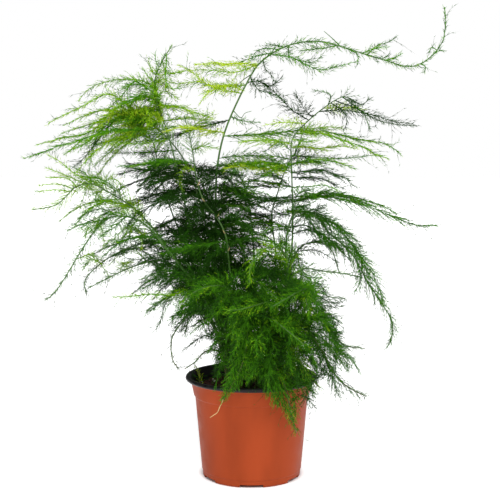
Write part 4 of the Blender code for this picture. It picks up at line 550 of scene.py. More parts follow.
# Stems whose long twigs stand all round; long twigs on the others lie flat, as fronds
PLUMES = (
    "right_plume", "centre_arch", "centre_right", "centre_left", "centre_front", "front_low_right",
    "front_left", "front_right_plume", "front_plume", "pot_front_plume", "right_front_arch",
    "low_left_front", "back_arch_left", "back_arch_right", "back_low_left", "back_low_right",
    "back_upright", "back_pot_plume")

# Dried shoots and where dry scales clasp a stem, by the stem that bears them: x, z and depth; then the
# scales' length and width, and the ways that they point by turns
DRY_SHOOTS = {"pot_front_plume": (
    (-26, 69, -66), (-27, 66, -66), (-29, 62, -66), (-31, 57, -66), (-35, 54, -66), (-38, 52, -66))}
SCALES = {"bracted_stem": (
    (-48, 264, -8), (-42, 249, -12), (-31, 235, -18), (-19, 222, -25), (-12, 206, -24))}
SCALE_LENGTH = 5.5
SCALE_WIDTH = 1.7
SCALE_WAYS = ((0.5, -0.6, 1.0), (-0.6, -0.5, 1.0))


class Zone:
    """A part of the plant that short sprays fill: its edges in the front view as height, left and
    right, its depths, how far its sprays reach, what share of that they drop, the length and the tone
    of their twigs, the tone darker in shaded zones and paler in lit ones as painted shade and light,
    and how many sprays each stem bears there."""

    def __init__(self, edges, depths, reach, drop, twig, tone, counts):
        self.heights, self.lefts, self.rights = np.array(edges, float).T
        self.depths, self.reach, self.drop, self.twig, self.tone = depths, reach, drop, twig, tone
        self.counts = counts

    def spans(self, point):
        """Whether a point is at the zone's heights and depths."""
        _, height = in_front_view(point)
        high = self.heights[0] - ZONE_SLACK < height < self.heights[-1]
        return high and self.depths[0] < point[1] < self.depths[1]

    def holds(self, point):
        """Whether a point is in the zone, between its edges too, and keeps off the pot's rim."""
        x, height = in_front_view(point)
        left, right = (np.interp(height, self.heights, side) for side in (self.lefts, self.rights))
        by_rim = (math.hypot(point[0], point[1]) < RIM_RADIUS + RIM_ROOM
                  and point[2] < RIM_HEIGHT + RIM_CLEARANCE)
        return left < x < right and not by_rim and self.spans(point)


ZONES = (
    # The bush over the pot
    Zone(((60, 24, 70), (75, 12, 74), (88, -6, 80), (96, -24, 82), (110, -38, 80), (125, -42, 78),
          (140, -46, 74), (150, -60, 70), (160, -78, 62), (172, -96, 58), (185, -102, 52), (205, -100, 44),
          (225, -80, 36)),
         (-86.0, 84.0), (22.0, 46.0), (0.3, 0.85), (9.0, 15.0), 0.32,
         {"centre_arch": 12, "centre_front": 12, "centre_left": 12, "centre_right": 12, "front_left": 10,
          "front_low_right": 10, "front_plume": 6, "front_right_plume": 6, "right_low": 8,
          "right_low_arch": 10, "right_mid": 8, "right_front_arch": 6, "right_plume": 8, "slender_upright": 8,
          "back_arch_left": 8, "back_arch_right": 8, "low_left_front": 6, "pot_front_plume": 6,
          "left_back_low": 5, "left_side_arch": 12, "left_low_arch": 8, "left_mid_arch": 4, "hanging_loop": 4,
          "climbing_shoot": 6, "back_upright": 6, "back_low_left": 5, "back_low_right": 5}),
    # The bush's front, which hangs towards the rim
    Zone(((86, -36, 60), (96, -40, 66), (110, -42, 70), (130, -44, 70), (150, -52, 64), (176, -60, 56)),
         (-92.0, -10.0), (18.0, 36.0), (0.5, 1.3), (9.0, 14.0), 0.36,
         {"centre_front": 14, "centre_left": 12, "front_left": 10, "pot_front_plume": 8, "front_plume": 6,
          "centre_arch": 6, "centre_right": 6, "low_left_front": 8, "front_low_right": 4}),
    # The crown behind the bush, dark with painted shade
    Zone(((150, -76, 24), (170, -96, 24), (190, -104, 20), (210, -106, 14), (222, -100, 10), (236, -112, 8),
          (250, -110, 2), (263, -112, 0), (276, -106, -14), (288, -100, -44)),
         (-60.0, 70.0), (30.0, 66.0), (0.15, 0.55), (16.0, 22.0), 0.16,
         {"climbing_shoot": 12, "slender_upright": 10, "umbrella": 21, "left_back": 16, "left_upright": 20,
          "bracted_stem": 19, "left_arching": 17, "left_mid_arch": 14, "left_low_arch": 8, "far_left": 4,
          "back_upright": 6}),
    # The crown's shaded left
    Zone(((232, -102, -46), (246, -106, -46), (268, -100, -50)),
         (-50.0, 60.0), (14.0, 34.0), (0.1, 0.5), (12.0, 16.0), 0.14,
         {"left_upright": 8, "umbrella": 8, "bracted_stem": 4}),
    # The gap between crown and bush, dark with painted shade
    Zone(((190, 0, 34), (215, 2, 30), (245, 2, 30)),
         (-50.0, 60.0), (10.0, 26.0), (0.0, 0.5), (11.0, 16.0), 0.2,
         {"slender_upright": 8, "right_upright": 5, "climbing_shoot": 3}),
    # The pale fronds at the left
    Zone(((190, -156, -86), (206, -166, -88), (226, -176, -94), (244, -184, -100), (262, -180, -104),
          (284, -176, -112), (304, -172, -120)),
         (-60.0, 70.0), (20.0, 46.0), (0.2, 0.7), (9.0, 14.0), 0.68,
         {"far_left": 5, "long_trailing": 5, "left_mid_arch": 3, "left_low_arch": 3, "left_arching": 20,
          "left_back": 14, "left_side_arch": 2}),
    # The tiers at the right
    Zone(((238, -40, 92), (250, -44, 96), (262, -24, 60), (276, -24, 54), (292, -26, 56), (306, -24, 56),
          (318, -22, 40)),
         (-60.0, 70.0), (36.0, 74.0), (0.0, 0.22), (12.0, 18.0), 0.52,
         {"right_upright": 8, "slender_upright": 8, "climbing_shoot": 8}),
    # The cloud at the upper left, bright with painted light
    Zone(((290, -170, -118), (304, -168, -112), (314, -158, -92), (325, -146, -66), (340, -132, -60),
          (358, -114, -60)),
         (-60.0, 70.0), (20.0, 44.0), (0.1, 0.6), (8.0, 13.0), 0.78,
         {"left_arching": 22, "left_upright": 16, "left_back": 12, "bracted_stem": 3}),
)


# ---------------------------------------------------------------- materials

def linear(colour):
    """An sRGB hex colour as the linear red, green and blue that a socket takes."""
    parts = [int(colour[k:k + 2], 16) / 255 for k in (1, 3, 5)]
    return tuple(c / 12.92 if c <= 0.04045 else ((c + 0.055) / 1.055) ** 2.4 for c in parts)


def shade(colour, factor, lift=0.0):
    """A colour made darker or lighter, at most white."""
    return tuple(min(1.0, factor * part + lift) for part in colour)


def add_node(tree, kind, values=None, links=None, **settings):
    """Adds a node with its settings, its input values and the sockets that feed it."""
    node = tree.nodes.new(kind)
    for name, value in settings.items():
        setattr(node, name, value)
    for socket, value in (values or {}).items():
        node.inputs[socket].default_value = value
    for socket, source in (links or {}).items():
        tree.links.new(source, node.inputs[socket])
    return node


def add_ramp(tree, factor, stops):
    """A colour ramp over a factor, from pairs of position and linear colour."""
    node = add_node(tree, "ShaderNodeValToRGB", links={"Fac": factor})
    elements = node.color_ramp.elements
    while len(elements) < len(stops):
        elements.new(0.5)
    for element, (position, colour) in zip(elements, stops):
        element.position = position
        element.color = (*colour, 1.0)
    return node.outputs["Color"]


def map_range(tree, value, before, after=(0.0, 1.0)):
    """A value moved from one range to another, and held within it."""
    return add_node(tree, "ShaderNodeMapRange", {
        "From Min": before[0], "From Max": before[1], "To Min": after[0], "To Max": after[1]},
        {"Value": value}).outputs["Result"]


def multiplied(tree, colour, other):
    return add_node(tree, "ShaderNodeMix", {0: 1.0}, {6: colour, 7: other}, data_type="RGBA",
                    blend_type="MULTIPLY").outputs[2]


def feed(shader, socket, source):
    """Links a source to one of a shader's sockets."""
    shader.id_data.links.new(source, shader.inputs[socket])


def new_material(name, roughness, ior=1.5, **more):
    """A Principled material with its typical values; returns it with its tree and shader."""
    material = bpy.data.materials.new(name)
    material.use_nodes = True
    shader = material.node_tree.nodes["Principled BSDF"]
    shader.inputs["Roughness"].default_value = roughness
    shader.inputs["IOR"].default_value = ior
    for socket, value in more.items():
        shader.inputs[socket.replace("_", " ")].default_value = value
    return material, material.node_tree, shader


def object_noise(tree, scale_mm, detail=3.0, stretch=(1.0, 1.0, 1.0)):
    """Noise on Object coordinates whose grain is the given size in millimetres."""
    place = add_node(tree, "ShaderNodeTexCoord").outputs["Object"]
    place = add_node(tree, "ShaderNodeMapping", {"Scale": stretch}, {"Vector": place}).outputs["Vector"]
    return add_node(tree, "ShaderNodeTexNoise", {"Scale": 1000.0 / scale_mm, "Detail": detail},
                    {"Vector": place}).outputs["Fac"]


def add_bump(tree, shader, height, depth_mm, strength=1.0):
    bump = add_node(tree, "ShaderNodeBump", {"Strength": strength, "Distance": depth_mm * MM},
                    {"Height": height})
    feed(shader, "Normal", bump.outputs["Normal"])


def terracotta_polypropylene(looks):
    """Polypropylene, injection moulded and coloured through: a satin terracotta wall with faint flow
    marks down its height and a fine eggshell texture that softens the studio's reflections."""
    material, tree, shader = new_material(
        "moulded_terracotta_polypropylene", 0.4, 1.49, Specular_IOR_Level=0.05)
    flow = object_noise(tree, 26.0, 3.0, (1.0, 1.0, 0.28))
    feed(shader, "Base Color", add_ramp(tree, flow, (
        (0.3, shade(looks.colour, 0.86)), (0.5, looks.colour), (0.72, shade(looks.colour, 1.12)))))
    feed(shader, "Roughness", map_range(tree, object_noise(tree, 9.0), (0.35, 0.7), (0.34, 0.5)))
    # The real texture is 0.2 mm, too fine to show here, so it is drawn at 0.8 mm
    add_bump(tree, shader, object_noise(tree, 0.8, 1.0), 0.03, 0.5)
    return material


def black_polypropylene(looks):
    """Black recycled polypropylene, moulded behind the outer colour: darker and glossier, with a
    grey sheen where the rolled lip turns to the light and dusty smears down the inside."""
    material, tree, shader = new_material("moulded_black_polypropylene", 0.3, 1.49, Specular_IOR_Level=0.16)
    dust = object_noise(tree, 14.0, 4.0)
    feed(shader, "Base Color", add_ramp(tree, dust, (
        (0.4, looks.lining_colour), (0.75, shade(looks.lining_colour, 2.4, 0.01)))))
    feed(shader, "Roughness", map_range(tree, dust, (0.35, 0.7), (0.24, 0.5)))
    add_bump(tree, shader, object_noise(tree, 0.9, 1.0), 0.03, 0.5)
    return material


def peat_mix(looks):
    """Peat potting mix, tipped in and watered: crumbly, almost black in its pores and reddish
    brown on dry crumbs, with no gloss."""
    material, tree, shader = new_material("watered_peat_mix", 0.92, 1.4)
    feed(shader, "Base Color", add_ramp(tree, object_noise(tree, 3.2, 6.0), (
        (0.36, shade(looks.colour, 0.35)), (0.5, looks.colour), (0.68, shade(looks.colour, 2.6)))))
    add_bump(tree, shader, object_noise(tree, 1.1, 4.0), 0.6)
    return material


def coir_fibre(looks):
    """Coir fibre, torn from husk: matt reddish brown threads, paler where they are dry."""
    material, tree, shader = new_material("torn_coir_fibre", 0.8, 1.5)
    feed(shader, "Base Color", add_ramp(tree, object_noise(tree, 6.0), (
        (0.35, shade(looks.fibre_colour, 0.5)), (0.65, looks.fibre_colour))))
    return material


def perlite(looks):
    """Perlite, volcanic glass puffed by heat: chalky white pellets with small grey pits."""
    material, tree, shader = new_material("puffed_perlite", 0.85, 1.5)
    pits = object_noise(tree, 0.9, 4.0)
    feed(shader, "Base Color", add_ramp(tree, pits, ((0.38, linear("#8f8a80")), (0.55, linear("#e9e6dd")))))
    add_bump(tree, shader, pits, 0.3)
    return material


def waxy_needles(looks):
    """Asparagus fern cladodes, grown and waxy: from deep green to yellow green by each copy's tone, which
    stands for age and also for painted shade and light, darker where the plant is shaded inside and yellower
    where its top is lit; paler towards each tip, with a soft sheen from the wax."""
    material, tree, shader = new_material("waxy_asparagus_needles", 0.6, 1.45, Specular_IOR_Level=0.12)
    place = add_node(tree, "ShaderNodeUVMap", uv_map="OFBake").outputs["UV"]
    parts = add_node(tree, "ShaderNodeSeparateXYZ", links={"Vector": place})
    colour = add_ramp(tree, parts.outputs["X"], (
        (0.0, looks.dark_green), (0.33, looks.deep_green), (0.6, looks.mid_green),
        (0.8, looks.light_green), (1.0, looks.yellow_green)))
    tips = add_ramp(tree, parts.outputs["Y"], ((0.3, (0.72, 0.74, 0.7)), (1.0, (1.0, 1.0, 1.0))))
    feed(shader, "Base Color", multiplied(tree, colour, tips))
    return material


def wiry_stems(looks):
    """Asparagus fern stems, grown: smooth and wiry, straw brown where they leave the soil and
    green above, with fine lengthwise streaks."""
    material, tree, shader = new_material("wiry_asparagus_stems", 0.42, 1.45)
    height = add_node(tree, "ShaderNodeSeparateXYZ", links={
        "Vector": add_node(tree, "ShaderNodeTexCoord").outputs["Object"]}).outputs["Z"]
    rise = map_range(tree, height, (SOIL_TOP, SOIL_TOP + 0.07))
    colour = add_ramp(tree, rise, ((0.0, looks.stem_foot), (1.0, looks.stem_green)))
    streaks = add_ramp(tree, object_noise(tree, 1.6, 2.0, (1.0, 1.0, 0.08)), (
        (0.35, (0.8, 0.8, 0.8)), (0.65, (1.0, 1.0, 1.0))))
    feed(shader, "Base Color", multiplied(tree, colour, streaks))
    return material


def dry_stalk(looks):
    """A dried stalk and its papery scales: matt straw, browner in patches."""
    material, tree, shader = new_material("dried_asparagus_stalk", 0.75, 1.45)
    feed(shader, "Base Color", add_ramp(tree, object_noise(tree, 4.0), (
        (0.35, shade(looks.dry_colour, 0.6)), (0.65, looks.dry_colour))))
    return material


def studio_paper(looks):
    """White studio paper, calendered, with a painted glow as it is no lamp, missing where the pot stands,
    which
    paints a shadow there: almost even, with a slight sheen, and brighter far off, where it meets the white
    backdrop."""
    material, tree, shader = new_material("calendered_studio_paper_painted_glow", 0.22, 1.45)
    shader.inputs["Emission Color"].default_value = (1.0, 1.0, 1.0, 1.0)
    place = add_node(tree, "ShaderNodeTexCoord").outputs["Object"]
    reach = add_node(tree, "ShaderNodeVectorMath", links={0: place}, operation="LENGTH").outputs["Value"]
    # Painted glow, missing under the pot, where its lack paints a shadow, and more of it far off
    glow = map_range(tree, reach, PAINTED_SHADOW_EDGE, (0.0, looks.glow))
    far = map_range(tree, reach, FAR_EDGE, (0.0, FAR_PAINTED_GLOW))
    both = add_node(tree, "ShaderNodeMath", links={0: glow, 1: far})
    feed(shader, "Emission Strength", both.outputs["Value"])
    feed(shader, "Base Color", add_ramp(tree, object_noise(tree, 60.0), (
        (0.3, shade(looks.floor_colour, 0.985)), (0.7, looks.floor_colour))))
    return material


# ---------------------------------------------------------------- shapes

def add_piece(name, mesh, materials, body="root", replaces=()):
    """Makes a piece of a bmesh or a mesh, with its materials, and tells the frame what it is. With no
    body it is stage or a cutter, which the frame isn't told of here."""
    if isinstance(mesh, bmesh.types.BMesh):
        data = bpy.data.meshes.new(name)
        mesh.to_mesh(data)
        mesh.free()
    else:
        data = mesh
    for material in materials:
        data.materials.append(material)
    piece = bpy.data.objects.new(name, data)
    bpy.context.scene.collection.objects.link(piece)
    if body:
        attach(piece, body)
    if replaces:
        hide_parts(*replaces)
    return piece


def smooth_faces(piece, degrees=35.0):
    for face in piece.data.polygons:
        face.use_smooth = True
    piece.data.set_sharp_from_angle(angle=math.radians(degrees))


def rounded_profile(points, radius_mm, spin_steps):
    """Spins a profile whose ends lie on the axis, its corners rounded first, into a closed body."""
    mesh = bmesh.new()
    corners = [mesh.verts.new((x * MM, 0.0, z * MM)) for x, z in points]
    for pair in zip(corners, corners[1:]):
        mesh.edges.new(pair)
    bmesh.ops.bevel(mesh, geom=corners[1:-1], offset=radius_mm * MM, offset_type="OFFSET", segments=3,
                    profile=0.5, affect="VERTICES", clamp_overlap=True, material=-1)
    bmesh.ops.spin(mesh, geom=mesh.verts[:] + mesh.edges[:], cent=(0, 0, 0), axis=(0, 0, 1),
                   angle=math.tau, steps=spin_steps, use_merge=True)
    bmesh.ops.remove_doubles(mesh, verts=mesh.verts[:], dist=SAME_PLACE * MM)
    bmesh.ops.recalc_face_normals(mesh, faces=mesh.faces[:])
    return mesh


def cut_notches(piece):
    """Cuts the drain notches through the ring of feet."""
    inner, width, height = NOTCH
    mesh = bmesh.new()
    length = RIM_RADIUS - inner
    for number in range(NOTCHES):
        size = Matrix.Diagonal((length * MM, width * MM, 2 * height * MM, 1.0))
        place = Matrix.Translation(((inner + length / 2) * MM, 0.0, 0.0))
        turn = Matrix.Rotation(-math.pi / 2 + math.tau * number / NOTCHES, 4, "Z")
        bmesh.ops.create_cube(mesh, size=1.0, matrix=turn @ place @ size)
    upright = [edge for edge in mesh.edges if abs((edge.verts[0].co - edge.verts[1].co).z) < 1e-6]
    bmesh.ops.bevel(mesh, geom=upright, offset=NOTCH_ROUNDING * MM, segments=2, profile=0.5, affect="EDGES",
                    material=-1)
    cutter = add_piece("notches", mesh, [], body=None)
    cut = piece.modifiers.new("cut", "BOOLEAN")
    cut.object = cutter
    cut.solver = "EXACT"
    depsgraph = bpy.context.evaluated_depsgraph_get()
    result = bpy.data.meshes.new_from_object(piece.evaluated_get(depsgraph))
    piece.modifiers.clear()
    piece.data = result
    bpy.data.objects.remove(cutter)


def pebble(chance, level):
    """A lump of unit width: an icosphere whose corners are pushed in and out."""
    mesh = bmesh.new()
    bmesh.ops.create_icosphere(mesh, subdivisions=level, radius=0.5)
    for corner in mesh.verts:
        corner.co *= chance.uniform(0.72, 1.2)
    return mesh


def soil_height(x, y):
    """Height of the soil's surface at a place, in metres: slight lumps, sunk by the wall."""
    lumps = sum(height * noise.noise(Vector((x * waves, y * waves, layer)))
                for height, waves, layer in SOIL_LUMPS)
    sunk = max(0.0, math.hypot(x, y) - SINKS_PAST) * SINKING
    return SOIL_TOP + lumps * MM - sunk


# ---------------------------------------------------------------- copies of small shapes

class Shape:
    """A small mesh made by an operator, as corners, triangles and where each triangle's corners
    lie round and along it. Its copies are laid out by number, tens of thousands at once."""

    def __init__(self, mesh):
        bmesh.ops.triangulate(mesh, faces=mesh.faces[:])
        self.corners = np.array([corner.co[:] for corner in mesh.verts])
        self.faces = np.array([[corner.index for corner in face.verts] for face in mesh.faces])
        mesh.free()
        turns = np.arctan2(self.corners[:, 1], self.corners[:, 0]) / math.tau
        turns = turns[self.faces]
        middle = self.corners[self.faces].mean(axis=1)
        centre = np.arctan2(middle[:, 1], middle[:, 0]) / math.tau
        turns += np.round(centre[:, None] - turns)
        axial = np.hypot(self.corners[:, 0], self.corners[:, 1])[self.faces] < 1e-6
        self.turns = np.where(axial, centre[:, None], turns) + 0.5
        self.heights = self.corners[:, 2][self.faces]


def upright_cone(sides, root, tip, **caps):
    """A cone or a tube of unit length that stands on the origin."""
    mesh = bmesh.new()
    bmesh.ops.create_cone(mesh, cap_ends=True, segments=sides, radius1=root, radius2=tip, depth=1.0,
                          matrix=Matrix.Translation((0, 0, 0.5)), **caps)
    return mesh


def needle_shape():
    """A needle of unit length and width: a three-sided spike."""
    return Shape(upright_cone(3, 0.5, 0.0))


def tube_shape(sides, rings):
    """A closed tube of unit length and radius with rings along it, to be bent along a path."""
    mesh = upright_cone(sides, 1.0, 1.0, cap_tris=True)
    cut_across(mesh, rings - 1)
    return Shape(mesh)


def twig_shape(cuts):
    """A twig of unit length and radius: a three-sided spike, wider where it is cut to bend."""
    mesh = upright_cone(3, 1.0, 0.0)
    for corner in cut_across(mesh, cuts):
        corner.co.x *= BEND_WIDTH
        corner.co.y *= BEND_WIDTH
    return Shape(mesh)


def cut_across(mesh, cuts):
    """Cuts a mesh's lengthwise edges into equal parts; returns the new corners."""
    lengthwise = [edge for edge in mesh.edges if abs((edge.verts[0].co - edge.verts[1].co).z) > 0.5]
    new = bmesh.ops.subdivide_edges(mesh, edges=lengthwise, cuts=cuts)["geom_inner"] if cuts else []
    return [part for part in new if isinstance(part, bmesh.types.BMVert)]


class Heap:
    """Copies of shapes, gathered to make one mesh."""

    def __init__(self):
        self.corners, self.faces, self.maps, self.slots = [], [], [], []
        self.count = 0

    def add(self, shape, corners, across, along, slot):
        """Adds copies: their corners, and their map's place across and along for each face corner."""
        copies = len(corners)
        start = self.count + np.arange(copies) * len(shape.corners)
        self.corners.append(corners.reshape(-1, 3))
        self.faces.append((shape.faces[None] + start[:, None, None]).reshape(-1, 3))
        self.maps.append(np.stack([across, along], axis=-1).reshape(-1, 2))
        self.slots.append(np.full(copies * len(shape.faces), slot))
        self.count += copies * len(shape.corners)

    def to_mesh(self, name):
        corners = np.concatenate(self.corners) * MM
        faces = np.concatenate(self.faces).astype(np.int32)
        mesh = bpy.data.meshes.new(name)
        mesh.vertices.add(len(corners))
        mesh.vertices.foreach_set("co", corners.astype(np.float32).ravel())
        mesh.loops.add(faces.size)
        mesh.loops.foreach_set("vertex_index", faces.ravel())
        mesh.polygons.add(len(faces))
        mesh.polygons.foreach_set("loop_start", np.arange(0, faces.size, 3, dtype=np.int32))
        mesh.polygons.foreach_set("material_index", np.concatenate(self.slots).astype(np.int32))
        mesh.polygons.foreach_set("use_smooth", np.ones(len(faces), bool))
        layer = mesh.uv_layers.new(name="OFBake")
        layer.uv.foreach_set("vector", np.concatenate(self.maps).astype(np.float32).ravel())
        mesh.update(calc_edges=True)
        mesh.validate()
        return mesh


def unit(vectors):
    return vectors / np.maximum(np.linalg.norm(vectors, axis=-1, keepdims=True), 1e-9)


def square_to(vectors, axes):
    """Unit vectors square to the axes, nearest to the given ones."""
    return unit(vectors - axes * (vectors * axes).sum(axis=-1, keepdims=True))


# ---------------------------------------------------------------- the fern's growth

def seen(x, z, y):
    """A point that the front view shows at x and z on the pot's mid plane, set back to depth y."""
    scale = (EYE_DISTANCE + y) / EYE_DISTANCE
    return np.array([x * scale, y, EYE_HEIGHT + (z - EYE_HEIGHT) * scale])


def in_front_view(point):
    """Where the front view shows a point, as x and z on the pot's mid plane."""
    scale = EYE_DISTANCE / (EYE_DISTANCE + point[1])
    return point[0] * scale, EYE_HEIGHT + (point[2] - EYE_HEIGHT) * scale


def smooth_curve(points, parts=8):
    """A centripetal Catmull-Rom curve, which keeps from looping where its points are uneven."""
    points = np.asarray(points, float)
    ends = np.vstack([2 * points[0] - points[1], points, 2 * points[-1] - points[-2]])
    curve = []
    for a, b, c, d in zip(ends, ends[1:], ends[2:], ends[3:]):
        start = math.sqrt(np.linalg.norm(b - a))
        end = start + math.sqrt(np.linalg.norm(c - b))
        last = end + math.sqrt(np.linalg.norm(d - c))
        for t in np.linspace(start, end, parts, endpoint=False):
            before = a + (b - a) * t / start
            between = b + (c - b) * (t - start) / (end - start)
            after = c + (d - c) * (t - end) / (last - end)
            left = before + (between - before) * t / end
            right = between + (after - between) * (t - start) / (last - start)
            curve.append(left + (right - left) * (t - start) / (end - start))
    return np.array(curve + [points[-1]])


class Branch:
    """A stem or a side spray: a smooth path with its thickness, tone and twig length."""

    def __init__(self, points, radii, tone, twig, bare=0.0, plume=False):
        self.line = smooth_curve(points)
        steps = np.diff(self.line, axis=0)
        lengths = np.maximum(np.linalg.norm(steps, axis=1), 1e-6)
        self.stops = np.concatenate([[0.0], np.cumsum(lengths)])
        self.length = self.stops[-1]
        tangents = unit(steps)
        self.tangents = unit(np.vstack([tangents[:1], tangents[:-1] + tangents[1:], tangents[-1:]]))
        rises = abs(self.tangents[0][2]) > 0.9
        up = np.array([0.0, -1.0, 0.0]) if rises else np.array([0.0, 0.0, 1.0])
        normals = []
        for tangent in self.tangents:
            up = square_to(up, tangent)
            normals.append(up)
        self.normals = np.array(normals)
        self.radii, self.tone, self.twig, self.bare, self.plume = radii, tone, twig, bare, plume
        self.flat = twig > FLAT_TWIG and not plume

    def at(self, stops):
        """Places, tangents, normals and side directions at lengths along the path."""
        found = [np.stack([np.interp(stops, self.stops, rows[:, k]) for k in range(3)], axis=-1)
                 for rows in (self.line, self.tangents, self.normals)]
        tangents = unit(found[1])
        normals = square_to(found[2], tangents)
        return found[0], tangents, normals, np.cross(normals, tangents)

    def nearest(self, point):
        """The path's own point that is nearest to the one given."""
        return self.line[np.argmin(np.linalg.norm(self.line - point, axis=1))]


class Wires:
    """Slender twigs: each is a root, a direction, a bend, a length, a radius, a tone and the
    direction that its flat side faces."""

    def __init__(self, roots, ways, bends, lengths, radii, tones, faces):
        self.bent = lengths > BENT_TWIG
        self.roots, self.ways = roots, np.where(self.bent[:, None], ways, ways + bends)
        self.bends = np.where(self.bent[:, None], bends, 0.0)
        self.lengths, self.radii, self.tones, self.faces = lengths, radii, tones, faces

    def part(self, rows):
        """The wires at the given rows."""
        return Wires(*(values[rows] for values in (
            self.roots, self.ways, self.bends, self.lengths, self.radii, self.tones, self.faces)))

    def at(self, rows, shares):
        """Place and direction at shares of the length of the numbered wires."""
        lengths = self.lengths[rows][:, None]
        t = shares[:, None]
        place = self.roots[rows] + lengths * (self.ways[rows] * t + self.bends[rows] * t * t)
        return place, unit(self.ways[rows] + 2 * self.bends[rows] * t)


def around(turn, sides, normals):
    """Directions square to a branch, turned round it."""
    return np.cos(turn)[:, None] * sides + np.sin(turn)[:, None] * normals


def leaning(lean, out, along):
    """Directions that lean out from along, by angles in radians."""
    return np.sin(lean)[:, None] * out + np.cos(lean)[:, None] * along


def grow_twigs(branch, chance, looks):
    """Twigs along a branch: in a flat frond to its two sides, in a plume all round."""
    lost, narrower, suddenness = PLUME_TIP if branch.plume else FROND_TIP
    start = branch.bare * branch.length + 2.0
    spacing = looks.twig_spacing / MM
    stops = np.arange(start, branch.length - 1.0, spacing)
    stops = stops + chance.uniform(-0.4, 0.4, len(stops)) * spacing
    share = np.clip((stops - start) / max(branch.length - start, 1.0), 0.0, 1.0)
    kept = chance.uniform(0.0, 1.0, len(stops)) > lost * share ** 2
    stops, share = stops[kept], share[kept]
    count = len(stops)
    size = branch.twig * np.minimum(1.0, 0.45 + 3.0 * share) * (1.0 - narrower * share ** suddenness)
    size = np.maximum(size * chance.uniform(0.75, 1.15, count), SHORTEST_TWIG)
    order = np.arange(count)
    turn = np.where(order % 2 == 0, 0.0, math.pi) if branch.flat else order * TWIG_TURN
    turn = turn + chance.normal(0.0, 0.3, count)
    lean = np.radians(chance.uniform(*TWIG_LEAN, count) - 20.0 * share)
    places, tangents, normals, sides = branch.at(stops)
    ways = leaning(lean, around(turn, sides, normals), tangents)
    fall = looks.droop * (0.5 if branch.flat else 1.0)
    ways = unit(ways + [0.0, 0.0, -1.0] * (fall * size / 40.0)[:, None])
    bends = 0.12 * tangents + [0.0, 0.0, -1.0] * (fall * size / 30.0)[:, None]
    bends = bends + chance.normal(0.0, 0.03, (count, 3))
    tones = branch.tone + chance.normal(0.0, 0.06, count) + 0.05 * share
    faces = (1.0 if branch.flat else 0.0) * square_to(normals, ways)
    return Wires(places, ways, bends, size, np.full(count, TWIG_RADIUS), tones, faces)


def grow_strays(branch, chance, looks):
    """A few long and hair-thin twigs that hang out of a branch and curl."""
    start = branch.bare * branch.length + 4.0
    count = int(max(0.0, branch.length - start) / STRAY_SPACING)
    stops = np.sort(chance.uniform(start, max(branch.length - 3.0, start + 0.1), count))
    places, tangents, normals, sides = branch.at(stops)
    out = around(chance.uniform(0.0, math.tau, count), sides, normals)
    ways = leaning(np.radians(chance.uniform(*STRAY_LEAN, count)), out, tangents)
    bends = chance.normal(0.0, 0.18, (count, 3)) - [0.0, 0.0, 0.16]
    size = chance.uniform(*STRAY_LENGTHS, count)
    tones = branch.tone * 0.6 + chance.normal(0.0, 0.05, count)
    return Wires(places, ways, bends, size, np.full(count, STRAY_RADIUS), tones, np.zeros((count, 3)))


def needles_on(wires, chance, looks, per_mm):
    """Needles round each wire, leaning forward along it; about a flat frond they keep near its plane."""
    counts = np.maximum((wires.lengths * per_mm).round().astype(int), 1)
    rows = np.repeat(np.arange(len(counts)), counts)
    order = np.arange(len(rows)) - np.repeat(np.cumsum(counts) - counts, counts)
    shares = 0.08 + 0.92 * (order + chance.uniform(0.0, 1.0, len(rows))) / counts[rows]
    places, along = wires.at(rows, shares)
    spread = chance.normal(0.0, 1.0, (len(rows), 3))
    faces = wires.faces[rows]
    spread = spread - 0.5 * faces * (spread * faces).sum(axis=1, keepdims=True)
    lean = np.radians(chance.uniform(*NEEDLE_LEAN, len(rows)))
    ways = leaning(lean, square_to(spread, along), along)
    lengths = looks.needle_length / MM * chance.uniform(0.7, 1.2, len(rows)) * (1.0 - 0.4 * shares ** 2)
    tones = wires.tones[rows] + chance.normal(0.0, 0.07, len(rows)) + 0.06 * shares
    return places, ways, lengths, tones


def needles_along(branch, chance, looks, per_mm):
    """Needles straight on a branch's leafy length."""
    start = branch.bare * branch.length + 2.0
    count = int(max(0.0, branch.length - start) * per_mm)
    stops = np.sort(chance.uniform(start, branch.length, count))
    places, tangents, _, _ = branch.at(stops)
    away = square_to(chance.normal(0.0, 1.0, (count, 3)), tangents)
    ways = leaning(np.radians(chance.uniform(*BRANCH_NEEDLE_LEAN, count)), away, tangents)
    lengths = looks.needle_length / MM * chance.uniform(0.6, 1.0, count)
    tones = branch.tone + chance.normal(0.0, 0.08, count)
    return places, ways, lengths, tones


def crosswise(shape, ways):
    """Each copy's corners, as they lie across its way."""
    some = np.where(np.abs(ways[:, 2:]) < 0.9, [[0.0, 0.0, 1.0]], [[1.0, 0.0, 0.0]])
    side = square_to(some, ways)
    x, y, _ = shape.corners.T
    return side[:, None] * x[:, None] + np.cross(ways, side)[:, None] * y[:, None]


def map_by_tone(shape, tones, strip):
    """The map's places across, by each copy's tone, and along, in the given strip."""
    tones = np.clip(tones, 0.0, 1.0)[:, None, None]
    across = MAP_MARGIN + MAP_TONES * tones + MAP_TURN[0] * (shape.turns - 0.5)[None]
    along = strip[0] + strip[1] * shape.heights + MAP_TURN[1] * shape.turns
    return across, np.broadcast_to(along, across.shape)


def lay_needles(heap, shape, needles, thickness, slot):
    """Copies of the needle with their roots, directions and lengths."""
    places, ways, lengths, tones = needles
    if len(places):
        heights = lengths[:, None] * shape.corners[:, 2]
        corners = places[:, None] + ways[:, None] * heights[..., None] + thickness * crosswise(shape, ways)
        heap.add(shape, corners, *map_by_tone(shape, tones, NEEDLE_STRIP), slot)


def lay_twigs(heap, shape, wires, slot):
    """Copies of the twig, each bent."""
    if len(wires.roots):
        z = shape.corners[:, 2]
        path = wires.ways[:, None] * z[:, None] + wires.bends[:, None] * (z * z)[:, None]
        corners = (wires.roots[:, None] + wires.lengths[:, None, None] * path
                   + wires.radii[:, None, None] * crosswise(shape, wires.ways))
        heap.add(shape, corners, *map_by_tone(shape, wires.tones, TWIG_STRIP), slot)


